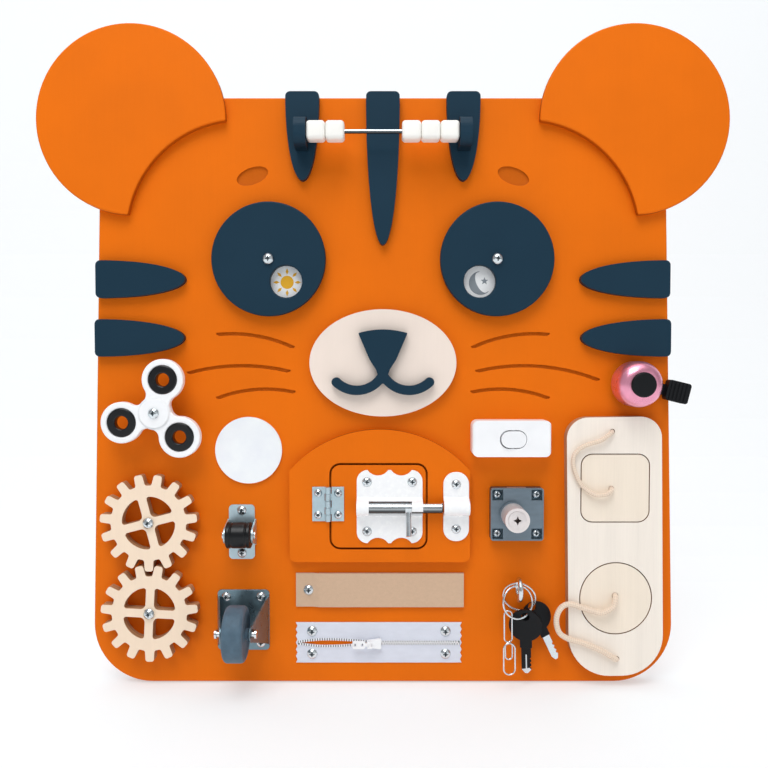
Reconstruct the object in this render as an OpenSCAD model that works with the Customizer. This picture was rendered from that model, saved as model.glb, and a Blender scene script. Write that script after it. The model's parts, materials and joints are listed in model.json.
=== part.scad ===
// Activity board in the shape of a tiger's face, with hardware-shop gadgets to turn, slide, open and ring.
// Everything is drawn flat, x to the right, y up and z out of the painted face, then stood upright.

/* [Board] */
// Width of the board at its top edge
board_top_w = 411; // [390:1:440]
// Width of the board at its bottom edge
board_bottom_w = 431; // [420:1:450]
// Height of the board
board_h = 430; // [426:1:450]
// Thickness of the board
board_t = 12; // [10:0.5:20]
// Radius of the two bottom corners
board_corner_r = 43; // [20:1:50]
// Thickness of each plywood overlay
overlay_t = 6; // [5:0.5:9]
// Distance between the two hanging holes in the back
hang_spacing = 300; // [200:5:320]
// Height of the hanging holes above the board's middle
hang_y = 150; // [120:5:160]
// Radius of a hanging hole
hang_hole_r = 4; // [3:0.5:5]
// Depth of a hanging hole
hang_hole_depth = 8; // [6:0.5:9]
// Depth of the engraved whiskers and brows
engrave_depth = 1.5; // [0.5:0.25:3]
// Width of a whisker groove
whisker_w = 2.4; // [1.5:0.1:4]

/* [Face] */
// Radius of an ear
ear_r = 68.5; // [60:0.5:75]
// Distance of an ear's centre from the midline
ear_x = 181.9; // [175:0.5:190]
// Distance of an ear's centre below the board's top edge
ear_drop = 17.1; // [10:0.5:25]
// Radius of the curve that cuts an ear off towards the face
ear_cut_r = 83.5; // [75:0.5:90]
// Width of a forehead stripe
brow_stripe_w = 24.4; // [18:0.2:30]
// Distance of the outer forehead stripes from the midline
brow_stripe_x = 58.2; // [50:0.2:64]
// Length of an outer forehead stripe
side_stripe_len = 63.6; // [55:1:75]
// Length of the middle forehead stripe
mid_stripe_len = 110; // [90:1:115]
// How far the forehead stripes stand past the board's top edge
stripe_overhang = 2.8; // [0:0.2:6]
// Width of a cheek stripe
cheek_stripe_w = 27.3; // [20:0.2:32]
// Length of a cheek stripe
cheek_stripe_len = 65; // [50:1:75]
// Height of the upper cheek stripes
cheek_upper_y = 83; // [78:0.5:90]
// Height of the lower cheek stripes
cheek_lower_y = 40.4; // [36:0.5:46]
// Half width of the muzzle
muzzle_rx = 53.5; // [45:0.5:60]
// Half height of the muzzle
muzzle_ry = 39; // [34:0.5:45]
// Height of the muzzle's middle
muzzle_y = 22.2; // [18:0.2:26]
// Width of the nose
nose_w = 36; // [28:0.5:44]
// Width of the smile's stroke
smile_w = 6.7; // [4:0.1:8]

/* [Eyes] */
// Radius of an eye disc
eye_r = 41.3; // [36:0.1:44]
// Thickness of an eye disc
eye_t = 6; // [4:0.5:9]
// Distance of an eye from the midline
eye_x = 82.8; // [78:0.2:90]
// Height of the eyes
eye_y = 97.4; // [90:0.2:104]
// Gap between an eye disc and the board
eye_gap = 2; // [1.5:0.1:4]
// Radius of the window in an eye disc
window_r = 11.6; // [8:0.1:13]
// Distance of the window from the disc's centre
window_offset = 20.6; // [18:0.1:24]
// Radius of the picture card under an eye disc
card_r = 36; // [34:0.5:39]
// Thickness of the picture card
card_t = 0.6; // [0.3:0.1:1]

/* [Abacus] */
// Distance of the rod below the board's top edge
rod_drop = 30; // [23:0.1:35]
// Height of the rod above the painted face
rod_z = 19.5; // [18:0.1:24]
// Radius of the rod
rod_r = 1.5; // [1:0.1:2.5]
// Thickness of a bracket along the rod
bracket_t = 8.5; // [6:0.1:12]
// Length of a bracket across the rod
bracket_len = 20.5; // [16:0.1:26]
// Height of a bracket beyond the rod's centre
bracket_top = 7.5; // [4:0.1:10]
// Width of a bead along the rod
bead_w = 13.3; // [10:0.1:14]
// Size of a bead across the rod
bead_size = 13.3; // [12:0.1:18]
// Radius of a bead's rounded edges
bead_round = 3.2; // [1:0.1:5]
// Radial play of a bead on the rod
bead_play = 0.3; // [0.2:0.05:0.8]
// Gap between neighbouring beads at rest
bead_gap = 0.2; // [0.1:0.05:0.6]

/* [Spinner] */
// Distance of the spinner's centre left of the midline
spinner_x = 163; // [155:0.2:170]
// Distance of the spinner's centre below the board's middle
spinner_drop = 13.6; // [10:0.2:20]
// Distance of a lobe's centre from the spinner's centre
lobe_offset = 24.6; // [22:0.1:27]
// Radius of a lobe
lobe_r = 14.8; // [12.5:0.1:16]
// Outer radius of a lobe's weight
weight_r = 10.3; // [8:0.1:11]
// Radius of the hole in a weight
weight_hole_r = 4.75; // [3:0.05:6]
// Thickness of the spinner
spinner_t = 7; // [5:0.1:9]
// Height of the spinner's back above the face
spinner_gap = 12; // [6:0.5:16]
// Angle of the first lobe
spinner_angle = 76; // [0:1:120]

/* [Gears] */
// Teeth on each gear
gear_teeth = 15; // [11:2:21]
// Outer radius of a gear
gear_r = 35.4; // [33.5:0.1:36]
// Depth of the teeth
tooth_depth = 8; // [7:0.1:9]
// Distance between the gear centres
gear_distance = 66.4; // [66:0.1:68]
// Width of a tooth at its tip
tooth_tip_w = 6; // [3:0.1:6.2]
// Width of a tooth at its root
tooth_root_w = 6.9; // [5.5:0.1:7.2]
// Thickness of a gear
gear_t = 8; // [6:0.5:9]
// Gap between a gear and the board
gear_gap = 3; // [1:0.2:5]
// Outer radius of the gear's four windows
gear_window_r = 19.4; // [15:0.1:22]
// Radius of the gear windows' inner corners
window_inner_r = 3.6; // [2:0.1:5]
// Width of a gear's spokes
spoke_w = 6.2; // [4:0.1:8]
// Distance of the gears left of the midline
gear_x = 170.2; // [166:0.2:174]
// Distance of the upper gear below the board's middle
gear_upper_drop = 94; // [90:0.2:98]
// Angle of the upper gear's spokes
upper_spoke_angle = 14.5; // [-45:0.5:45]
// Angle of the lower gear's spokes
lower_spoke_angle = -3; // [-45:0.5:45]

/* [Mirror] */
// Radius of the round mirror
mirror_r = 24.5; // [20:0.5:27]
// Thickness of the round mirror
mirror_t = 2; // [1:0.5:4]
// Distance of the mirror's centre left of the midline
mirror_x = 98.8; // [96:0.2:104]
// Distance of the mirror's centre below the board's middle
mirror_drop = 42; // [38:0.2:48]

/* [Small roller] */
// Width of the roller's plate
roller_plate_w = 19; // [16:0.5:22]
// Length of the roller's plate
roller_plate_len = 40.4; // [36:0.2:46]
// Radius of the roller
roller_r = 9.5; // [7:0.1:11]
// Width of the roller
roller_w = 18; // [12:0.2:20]
// Height of the roller's axle above the face
roller_axle_z = 12; // [11.5:0.1:15]
// Distance of the roller left of the midline
roller_x = 104.2; // [101:0.2:108]
// Distance of the roller below the board's middle
roller_drop = 102.5; // [98:0.2:106]
// Thickness of the pressed steel of both rollers' brackets
bracket_steel_t = 1.2; // [0.8:0.1:1.6]

/* [Caster] */
// Width of the caster's plate
caster_plate_w = 38.4; // [34:0.2:44]
// Length of the caster's plate
caster_plate_len = 45; // [40:0.5:52]
// Radius of the caster's wheel
caster_r = 19.5; // [16:0.1:21]
// Width of the caster's wheel
caster_w = 14.6; // [12:0.2:18]
// Height of the caster's axle above the face
caster_axle_z = 31; // [24:0.5:36]
// Distance of the caster left of the midline
caster_x = 103.3; // [100:0.2:108]
// Distance of the caster below the board's middle
caster_drop = 168.2; // [166:0.2:172]
// Radius of the axles of both rollers
axle_r = 2; // [1.5:0.1:2.5]

/* [Door] */
// Width of the door's frame
frame_w = 132.3; // [128:0.2:134]
// Distance of the door's middle left of the midline
door_group_x = 2.3; // [0:0.1:4]
// Distance of the frame's bottom edge below the board's middle
frame_bottom_drop = 123.9; // [121:0.2:127]
// Height of the frame at its shoulders
frame_side_h = 67.2; // [64:0.2:74]
// Height of the frame at the top of its arch
frame_peak_h = 97.5; // [94:0.2:102]
// Radius of the frame's bottom corners
frame_corner_r = 4.7; // [2:0.1:8]
// Width of the doorway
doorway_w = 71.9; // [68:0.1:76]
// Height of the doorway
doorway_h = 63.6; // [60:0.1:66]
// Height of the doorway's sill above the frame's bottom edge
sill_h = 9.4; // [7:0.1:12]
// Radius of the doorway's corners
doorway_r = 7.9; // [4:0.1:12]
// Gap around the door
kerf = 1.5; // [0.9:0.1:2]
// Distance of the doorway's middle left of the frame's middle
doorway_shift = 0.9; // [-1:0.1:3]
// Length of the door's hinge
hinge_len = 25.2; // [20:0.2:32]
// Width of one hinge leaf
hinge_leaf_w = 11.6; // [9:0.1:14]
// Thickness of a hinge leaf
hinge_leaf_t = 1.2; // [0.8:0.1:1.6]
// Radius of the hinge's knuckles
knuckle_r = 2; // [1.7:0.05:2.6]
// Radius of the hinge's pin
hinge_pin_r = 1; // [0.7:0.05:1.2]

/* [Barrel bolt] */
// Width of the bolt's plate
bolt_plate_w = 48; // [46:0.2:50]
// Height of the bolt's plate
bolt_plate_h = 53.6; // [50:0.2:56]
// Thickness of the plate and the keeper
bolt_steel_t = 1.6; // [1.2:0.1:2]
// Distance of the plate's left edge from the door's hinge axis
bolt_plate_offset = 20.9; // [18:0.1:23]
// Radius of the bolt
bolt_r = 3.9; // [3:0.1:4]
// Height of the bolt's axis above the overlay
bolt_axis_h = 6.2; // [5.8:0.1:7]
// Radial play of the bolt in its barrel
bolt_play = 0.35; // [0.25:0.05:0.6]
// Width of the window in the barrel
barrel_window_w = 31.1; // [28:0.1:34]
// Distance of the window's right end from the plate's right edge
barrel_window_margin = 8; // [6:0.1:10]
// Width of the keeper's strap
keeper_w = 18.8; // [15:0.2:20]
// Height of the keeper's strap
keeper_h = 50.8; // [46:0.2:54]
// Gap between the bolt's tip and the keeper at rest
bolt_tip_gap = 0.5; // [0.4:0.1:2]
// Gap between the plate's right edge and the keeper
keeper_offset = 15.2; // [14:0.1:17]
// Radius of the bolt's handle
handle_r = 1.9; // [1.4:0.1:2]
// Length of the handle from the bolt's axis
handle_len = 20.5; // [16:0.5:24]
// Angle of the handle above the board at rest
handle_angle = 20; // [18:1:30]

/* [Strap] */
// Length of the strap
strap_len = 124; // [100:1:128]
// Width of the strap
strap_w = 25.3; // [20:0.1:30]
// Thickness of the strap
strap_t = 1.6; // [1:0.1:2.5]
// Thickness of the hook tape under the strap
hook_t = 1.2; // [0.8:0.1:2]
// Distance of the strap's left end from the midline
strap_left_x = 64.3; // [62:0.1:66]
// Distance of the strap's middle below the board's middle
strap_drop = 145.7; // [144:0.1:147]
// Length of the strap's end held down by the screw
strap_end_len = 16; // [14:0.5:24]

/* [Zip] */
// Length of the zip's tape
zip_len = 123; // [110:1:128]
// Width of the zip over both tapes
zip_w = 30.2; // [26:0.2:34]
// Thickness of the zip's tape
tape_t = 1; // [0.6:0.1:1.4]
// Distance of the zip's left end from the midline
zip_left_x = 64.6; // [62:0.1:66]
// Distance of the zip's middle below the board's middle
zip_drop = 185.3; // [183:0.1:187]
// Greatest width of the zip's open slit
slit_w = 3.8; // [2:0.1:5]
// Length of the slider
slider_len = 10.8; // [10:0.1:16]
// Width of the slider
slider_w = 7.8; // [7:0.1:10]
// Distance of the slider's middle left of the midline at rest
slider_x = 6.6; // [2:0.1:12]

/* [Switch] */
// Width of the light switch
switch_w = 57; // [50:0.2:60]
// Height of the light switch
switch_h = 26.2; // [22:0.2:30]
// Depth of the light switch
switch_t = 14; // [11:0.5:18]
// Distance of the switch's middle right of the midline
switch_x = 93; // [91:0.2:96]
// Distance of the switch's middle below the board's middle
switch_drop = 32.4; // [30:0.2:36]
// Width of the rocker
rocker_w = 18.2; // [14:0.1:22]
// Height of the rocker
rocker_h = 12; // [10:0.1:16]
// Travel of the rocker to each side, in degrees
rocker_tilt = 7; // [4:0.5:8]

/* [Lock] */
// Size of the lock's square body
lock_w = 38.6; // [36:0.1:44]
// Thickness of the lock's body
lock_t = 8; // [7:0.1:10]
// Distance of the lock's middle right of the midline
lock_x = 98; // [96:0.2:100]
// Distance of the lock's middle below the board's middle
lock_drop = 88.3; // [86:0.2:92]
// Radius of the lock's barrel
lock_barrel_r = 8.7; // [7.8:0.1:9.5]
// Height of the barrel's front above the face
lock_barrel_h = 30; // [22:0.5:34]
// Distance of the barrel left of the body's middle
lock_barrel_shift = 3.5; // [0:0.1:5]
// Radius of the turning plug
plug_r = 6.5; // [5:0.1:7]
// Size of the recess at each corner for a screw
lock_recess = 9; // [7.6:0.1:10]

/* [Key hook] */
// Outer radius of the screw eye
hook_r = 9; // [8:0.1:10]
// Radius of the screw eye's wire
hook_wire_r = 1.8; // [1.4:0.05:2]
// Distance of the screw eye right of the midline
hook_x = 99.2; // [98:0.2:103]
// Distance of the screw eye's middle below the board's middle
hook_drop = 142.6; // [142:0.2:148]
// Height of the screw eye's middle above the face
hook_z = 11; // [11:0.2:13]
// Radius of a key ring
ring_r = 12.4; // [12:0.1:13]
// Radius of a key ring's wire
ring_wire_r = 0.7; // [0.5:0.05:0.8]

/* [Shape panel] */
// Width of the shape panel
panel_w = 69; // [68:0.2:74]
// Height of the shape panel
panel_h = 190; // [186:0.5:193]
// Thickness of the shape panel
panel_t = 9; // [6:0.5:12]
// Distance of the panel's middle right of the midline
panel_x = 169.3; // [166:0.1:170]
// Lean of the panel along the board's side, in degrees
panel_lean = 0.9; // [0:0.1:1.4]
// Distance of the panel's top edge below the board's middle
panel_top_drop = 17; // [15:0.2:19]
// Radius of the panel's top corners
panel_top_r = 15.5; // [8:0.1:20]
// Radius of the panel's bottom corners
panel_bottom_r = 30; // [20:0.5:34]
// Size of the square inset
square_size = 50.4; // [44:0.1:56]
// Radius of the round inset
round_r = 26.6; // [22:0.1:30]
// Gap around an inset
inset_gap = 0.75; // [0.4:0.05:1]
// Distance of the square inset's middle below the panel's top edge
square_drop = 51.8; // [48:0.1:54]
// Distance of the round inset's middle below the panel's top edge
round_drop = 132.7; // [128:0.1:138]
// Radius of the upper cord
cord_square_r = 1.6; // [1.2:0.1:2]
// Radius of the lower cord
cord_round_r = 2; // [1.4:0.1:2.4]

/* [Bell] */
// Radius of the bell's dome
bell_r = 16.4; // [14:0.1:17]
// Height of the dome's top above the face
bell_h = 27; // [24:0.5:32]
// Thickness of the dome's metal
bell_wall = 1.2; // [0.8:0.1:2]
// Radius of the cap on the dome
bell_cap_r = 8.9; // [6:0.1:10]
// Distance of the bell right of the midline
bell_x = 182.5; // [181.5:0.2:185]
// Height of the bell above the board's middle
bell_y = 7; // [4.4:0.2:8]
// Length of the lever's thumb pad
lever_pad_len = 16.5; // [12:0.1:20]
// Width of the lever's thumb pad
lever_pad_w = 15; // [10:0.1:17]
// Angle of the lever below the horizontal
lever_angle = 10.5; // [5:0.5:20]

/* [Fasteners] */
// Radius of a small screw's head
small_head_r = 3.55; // [2.8:0.05:3.6]
// Radius of a small screw's shank
small_shank_r = 1.2; // [0.9:0.05:1.4]
// Radius of a large screw's head
large_head_r = 4; // [3.2:0.05:4.2]
// Radius of a pivot screw's shank
pivot_r = 2; // [1.5:0.05:2.4]
// Running clearance around shafts and pins
running_gap = 0.08; // [0.04:0.01:0.1]
// Clearance between parts that only lie beside each other
clear_gap = 0.3; // [0.2:0.05:0.5]

/* [Hidden] */
$fn = 64;
eps = 0.01;

orange = "#de6a1c";
navy = "#263a48";
cream = "#ecdccf";
birch = "#e8d6c2";
zinc = "#b4babf";
steel = "#c8ccd0";
white = "#eef0f2";
black = "#1d2024";

// Geometry helpers
function unit(v) = v / norm(v);
function short_turn(a, b) = let (d = b - a) d > 180 ? d - 360 : d < -180 ? d + 360 : d;
function corner(a, b, c, r, n) =
    let (u = unit(a - b), v = unit(c - b), half = acos(u * v) / 2, o = b + unit(u + v) * r / sin(half),
        p = b + u * r / tan(half) - o, q = b + v * r / tan(half) - o,
        start = atan2(p.y, p.x), turn = short_turn(start, atan2(q.y, q.x)))
    [for (i = [0:n]) o + r * [cos(start + turn * i / n), sin(start + turn * i / n)]];
function rounded(points, r, n = 8) =
    let (count = len(points))
    [for (i = [0:count - 1]) each corner(points[(i + count - 1) % count], points[i],
        points[(i + 1) % count], is_list(r) ? r[i] : r, n)];
function box(w, h) = [[-w / 2, -h / 2], [w / 2, -h / 2], [w / 2, h / 2], [-w / 2, h / 2]];
function polar(r, a) = [r * cos(a), r * sin(a)];
function three_point_centre(a, b, c) =
    let (d = 2 * (a.x * (b.y - c.y) + b.x * (c.y - a.y) + c.x * (a.y - b.y)))
    [(a * a * (b.y - c.y) + b * b * (c.y - a.y) + c * c * (a.y - b.y)) / d,
        (a * a * (c.x - b.x) + b * b * (a.x - c.x) + c * c * (b.x - a.x)) / d];

// The flat drawing's face becomes the board's front, which looks along -Y
module upright() rotate([90, 0, 0]) translate([0, -hang_y, board_t]) children();
module at(p, z = 0) translate([p.x, p.y, z]) children();
module plate(points, t) linear_extrude(t) polygon(points);

// Places on the board
ear_y = board_h / 2 - ear_drop;
rod_y = board_h / 2 - rod_drop;
function board_half_w(y) = (board_top_w + (board_bottom_w - board_top_w) * (0.5 - y / board_h)) / 2;
eye_left = [-eye_x, eye_y];
eye_right = [eye_x, eye_y];
eye_top = eye_gap + eye_t;
spinner_at = [-spinner_x, -spinner_drop];
mirror_at = [-mirror_x, -mirror_drop];
gear_upper_at = [-gear_x, -gear_upper_drop];
gear_lower_at = gear_upper_at - [0, gear_distance];
roller_at = [-roller_x, -roller_drop];
caster_at = [-caster_x, -caster_drop];
switch_at = [switch_x, -switch_drop];
lock_at = [lock_x, -lock_drop];
barrel_at = lock_at - [lock_barrel_shift, 0];
hook_at = [hook_x, -hook_drop];
panel_at = [panel_x, -panel_top_drop - panel_h / 2];
square_shift = -0.4;
square_at = [panel_x + square_shift, -panel_top_drop - square_drop];
round_shift = 0.7;
round_at = [panel_x + round_shift, -panel_top_drop - round_drop];
bell_at = [bell_x, bell_y];

// Screws: how deep they go into the board, and where their heads sit
screw_depth = board_t - 3;
pilot_play = 0.02;
plate_play = 0.15;
washer_t = 0.8;
washer_r = large_head_r - 0.3;

module screw(head_r, shank_r, shank_len) {
    head_h = 0.55 * head_r;
    dome_r = (head_r * head_r + head_h * head_h) / (2 * head_h);
    color(steel) {
        difference() {
            intersection() {
                cylinder(r = head_r, h = head_h);
                translate([0, 0, head_h - dome_r]) sphere(r = dome_r);
            }
            for (a = [0, 90]) rotate(a) translate([-head_r / 2, -head_r / 11, head_h / 2])
                cube([head_r, head_r / 5.5, head_h]);
        }
        translate([0, 0, -shank_len]) cylinder(r = shank_r, h = shank_len + eps);
    }
}
module washer(r, t, hole_r) color(steel) difference() {
    cylinder(r = r, h = t);
    translate([0, 0, -1]) cylinder(r = hole_r, h = t + 2);
}

// Board, with its engraving, hanging holes and pilot holes
board_outline = rounded([[-board_half_w(-board_h / 2), -board_h / 2], [board_half_w(-board_h / 2), -board_h / 2],
    [board_half_w(board_h / 2), board_h / 2], [-board_half_w(board_h / 2), board_h / 2]],
    board_corner_r, 16);
// Each whisker is an arc through its inner end, its crown and its outer end, drawn for the right cheek
upper_whisker = [[65.3, 33.3], [108.4, 43.6], [122.3, 43]];
left_whisker = [[68.2, 15.8], [106, 20.1], [144, 14.4]];
right_whisker = [[68.2, 15.8], [106, 20.1], [159.3, 9.3]];
lower_whisker = [[64.6, 0.5], [91, 2.8], [122.5, -4]];
brow_at = [95.2, 158.5];
brow_rx = 11.8;
brow_ry = 6;
brow_tilt = 20;

module whisker_groove(points) {
    centre = three_point_centre(points[0], points[1], points[2]);
    r = norm(points[0] - centre);
    difference() {
        cylinder(r = r + whisker_w / 2, h = engrave_depth + 1, $fn = 200);
        translate([0, 0, -1]) cylinder(r = r - whisker_w / 2, h = engrave_depth + 3, $fn = 200);
    }
}
module whisker(points) {
    centre = three_point_centre(points[0], points[1], points[2]);
    reach = 2 * norm(points[0] - points[2]);
    intersection() {
        translate([centre.x, centre.y, -engrave_depth]) whisker_groove(points);
        translate([0, 0, -engrave_depth - 1]) linear_extrude(engrave_depth + 3) polygon([points[0],
            points[0] + reach * unit(points[0] - centre), points[2] + reach * unit(points[2] - centre),
            points[2], points[2] * 0.5 + points[0] * 0.5 - 8 * unit(points[1] - centre)]);
    }
}
module whiskers(middle) for (points = [upper_whisker, middle, lower_whisker]) whisker(points);
module brow() translate([brow_at.x, brow_at.y, -engrave_depth]) rotate(-brow_tilt) linear_extrude(engrave_depth + 1)
    polygon([for (a = [0:10:350]) [brow_rx * cos(a), brow_ry * sin(a)]]);

module pilot(p, r, depth = screw_depth) at(p, -depth) cylinder(r = r + pilot_play, h = depth + 1);

module board() upright() color(orange) difference() {
    translate([0, 0, -board_t]) plate(board_outline, board_t);
    whiskers(right_whisker);
    mirror([1, 0, 0]) whiskers(left_whisker);
    brow();
    mirror([1, 0, 0]) brow();
    for (x = [-1, 1]) translate([x * hang_spacing / 2, hang_y, -board_t - 1])
        cylinder(r = hang_hole_r, h = hang_hole_depth + 1);
    for (p = pivots) pilot(p, pivot_r);
    for (p = small_screws) pilot(p, small_shank_r);
    pilot(hook_at, hook_shank_r);
}

// Painted plywood overlays
ear_cut_offset = [79.4, 83.7];
ear_cut_at = [ear_x, ear_y] - ear_cut_offset;
module ear() linear_extrude(overlay_t) difference() {
    translate([ear_x, ear_y]) circle(r = ear_r, $fn = 120);
    translate(ear_cut_at) circle(r = ear_cut_r, $fn = 120);
}
module ears() upright() color(orange) {
    ear();
    mirror([1, 0, 0]) ear();
}

stripe_corner_r = 3.6;
stripe_taper = 2.2;
function stripe_side(w, length, n) = concat([for (a = [90:-15:15]) [w / 2, 0] - stripe_corner_r * [1 - cos(a), 1 - sin(a)]],
    [for (i = [0:n]) let (s = length * sin(90 * i / n))
        if (s > stripe_corner_r) [w / 2 * sqrt(1 - pow(s / length, stripe_taper)), -s]]);
function stripe(w, length, n = 24) =
    let (side = stripe_side(w, length, n))
    concat(side, [for (i = [len(side) - 2:-1:0]) [-side[i].x, side[i].y]]);
module cheek_stripe(y) translate([board_half_w(y), y, 0]) rotate(-90)
    plate(stripe(cheek_stripe_w, cheek_stripe_len), overlay_t);
module stripes() upright() color(navy) {
    for (x = [-1, 1]) translate([x * brow_stripe_x, board_h / 2 + stripe_overhang, 0])
        plate(stripe(brow_stripe_w, side_stripe_len), overlay_t);
    translate([0, board_h / 2 + stripe_overhang, 0]) plate(stripe(brow_stripe_w, mid_stripe_len), overlay_t);
    for (y = [cheek_upper_y, cheek_lower_y]) {
        cheek_stripe(y);
        mirror([1, 0, 0]) cheek_stripe(y);
    }
}
module muzzle() upright() color(cream) translate([0, muzzle_y, 0])
    plate([for (a = [0:4:356]) [muzzle_rx * cos(a), muzzle_ry * sin(a)]], overlay_t);

// The nose narrows to a neck, which runs on into the smile's two arcs
smile_r = 21.3;
smile_x = 18.9;
smile_rise = 1.5;
smile_y = muzzle_y + smile_rise;
nose_rise = 24.1;
nose_top = muzzle_y + nose_rise;
nose_flare = 0.9;
nose_waist = 6;
nose_shoulder = 8;
smile_start = 194;
smile_end = 314;
module smile_half() translate([smile_x, smile_y, overlay_t]) {
    linear_extrude(overlay_t) intersection() {
        difference() {
            circle(r = smile_r + smile_w / 2);
            circle(r = smile_r - smile_w / 2);
        }
        polygon(concat([[0, 0]], [for (i = [0:3]) 3 * polar(smile_r, smile_start + i * (smile_end - smile_start) / 3)]));
    }
    translate(polar(smile_r, smile_end)) cylinder(r = smile_w / 2 + eps, h = overlay_t);
}
nose_crown_r = 62;
nose_corner_r = 2.8;
nose_neck_w = 7.2;
nose_h = 31;
module nose_shape() intersection() {
    translate([0, nose_top - nose_crown_r]) circle(r = nose_crown_r);
    polygon(rounded([[-nose_w / 2 - nose_flare, nose_top], [-nose_neck_w / 2 - nose_waist, nose_top - 0.7 * nose_h],
        [-nose_neck_w / 2, nose_top - nose_h], [nose_neck_w / 2, nose_top - nose_h],
        [nose_neck_w / 2 + nose_waist, nose_top - 0.7 * nose_h], [nose_w / 2 + nose_flare, nose_top]],
        [nose_corner_r, nose_corner_r, 0.1 * nose_corner_r, 0.1 * nose_corner_r, nose_corner_r, nose_corner_r]));
}
module nose_and_smile() upright() color(navy) {
    translate([0, 0, overlay_t]) linear_extrude(overlay_t) nose_shape();
    translate([-nose_neck_w / 2, nose_top - nose_h - nose_shoulder, overlay_t]) cube([nose_neck_w, 2 * nose_shoulder, overlay_t]);
    smile_half();
    mirror([1, 0, 0]) smile_half();
}

// Abacus: a rod between two brackets, two beads on the left and three on the right
bracket_face_x = brow_stripe_x - bracket_t / 2;
bracket_h = rod_z + bracket_top;
rod_inset = 1.5;
bracket_corner_r = 8;
module abacus_brackets() upright() color(navy) for (x = [-1, 1]) difference() {
    translate([x * brow_stripe_x - bracket_t / 2, rod_y, overlay_t]) rotate([90, 0, 90])
        plate(rounded([[-bracket_len / 2, 0], [bracket_len / 2, 0], [bracket_len / 2, bracket_h - overlay_t],
            [-bracket_len / 2, bracket_h - overlay_t]], [0.5, 0.5, bracket_corner_r, bracket_corner_r]), bracket_t);
    translate([x * (brow_stripe_x - rod_inset) - bracket_t / 2, rod_y, rod_z]) rotate([0, 90, 0])
        cylinder(r = rod_r + pilot_play, h = bracket_t);
}
module abacus_rod() upright() color(steel) translate([-bracket_face_x - bracket_t + rod_inset, rod_y, rod_z])
    rotate([0, 90, 0]) cylinder(r = rod_r, h = 2 * (bracket_face_x + bracket_t - rod_inset));
bead_pitch = bead_w + bead_gap;
bead_1_x = -bracket_face_x + bead_gap + bead_w / 2;
bead_x = [bead_1_x, bead_1_x + bead_pitch, -bead_1_x - 2 * bead_pitch, -bead_1_x - bead_pitch, -bead_1_x];
module bead(i) upright() color(white) translate([bead_x[i], rod_y, rod_z]) rotate([0, 90, 0]) difference() {
    intersection() {
        translate([0, 0, -bead_w / 2]) plate(rounded(box(bead_size, bead_size), bead_round), bead_w);
        rotate([90, 0, 0]) translate([0, 0, -bead_size / 2])
            plate(rounded(box(bead_size, bead_w), bead_round * 0.8), bead_size);
        rotate([0, 90, 0]) translate([0, 0, -bead_size / 2])
            plate(rounded(box(bead_w, bead_size), bead_round * 0.8), bead_size);
    }
    translate([0, 0, -bead_w]) cylinder(r = rod_r + bead_play, h = 2 * bead_w);
}
module bead_1() bead(0);
module bead_2() bead(1);
module bead_3() bead(2);
module bead_4() bead(3);
module bead_5() bead(4);

// Eyes: a disc turns about its screw, and its window shows the card behind it
eye_spacer_r = 5;
eye_spacer_t = eye_gap - clear_gap;
window_angle = -52;
module picture_cards() upright() color(white) for (p = [eye_left, eye_right]) at(p) difference() {
    cylinder(r = card_r, h = card_t);
    translate([0, 0, -1]) cylinder(r = eye_spacer_r + clear_gap, h = card_t + 2);
}
module eye_disc(p, side) upright() color(navy) at(p, eye_gap) difference() {
    cylinder(r = eye_r, h = eye_t, $fn = 96);
    translate([0, 0, -1]) cylinder(r = pivot_r + running_gap, h = eye_t + 2);
    translate([side * window_offset * cos(window_angle), window_offset * sin(window_angle), -1])
        cylinder(r = window_r, h = eye_t + 2);
}
module eye_disc_left() eye_disc(eye_left, 1);
module eye_disc_right() eye_disc(eye_right, -1);

// Spinner: three lobes with weights about a bearing on a post
spinner_top = spinner_gap + spinner_t;
spinner_hub_r = 10.9;
spinner_post_r = 4;
bearing_wall = 3;
module spinner_lobes(r) for (a = [0:120:240]) rotate(spinner_angle + a) translate([lobe_offset, 0]) circle(r = r);
spinner_cap_t = 1.4;
bearing_sink = 0.05;
module spinner_body() upright() color(white) at(spinner_at, spinner_gap) {
    linear_extrude(spinner_t) difference() {
        offset(-6) offset(6) {
            spinner_lobes(lobe_r);
            circle(r = spinner_hub_r + 1);
            for (a = [0:120:240]) rotate(spinner_angle + a) translate([0, -5]) square([lobe_offset, 10]);
        }
        spinner_lobes(weight_r + 0.1);
        circle(r = spinner_post_r + bearing_wall + 0.1);
    }
    translate([0, 0, spinner_t - eps]) linear_extrude(spinner_cap_t + eps) difference() {
        circle(r = spinner_hub_r);
        circle(r = pivot_r + running_gap);
    }
}
module spinner_weights() upright() color(black) at(spinner_at, spinner_gap) {
    for (a = [0:120:240]) rotate(spinner_angle + a) translate([lobe_offset, 0, 0]) difference() {
        cylinder(r = weight_r, h = spinner_t);
        translate([0, 0, -1]) cylinder(r = weight_hole_r, h = spinner_t + 2);
    }
    difference() {
        cylinder(r = spinner_post_r + bearing_wall, h = spinner_t - bearing_sink);
        translate([0, 0, -1]) cylinder(r = spinner_post_r + running_gap, h = spinner_t + 2);
    }
}
module mirror_disc() upright() color(white) at(mirror_at) cylinder(r = mirror_r, h = mirror_t);

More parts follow.
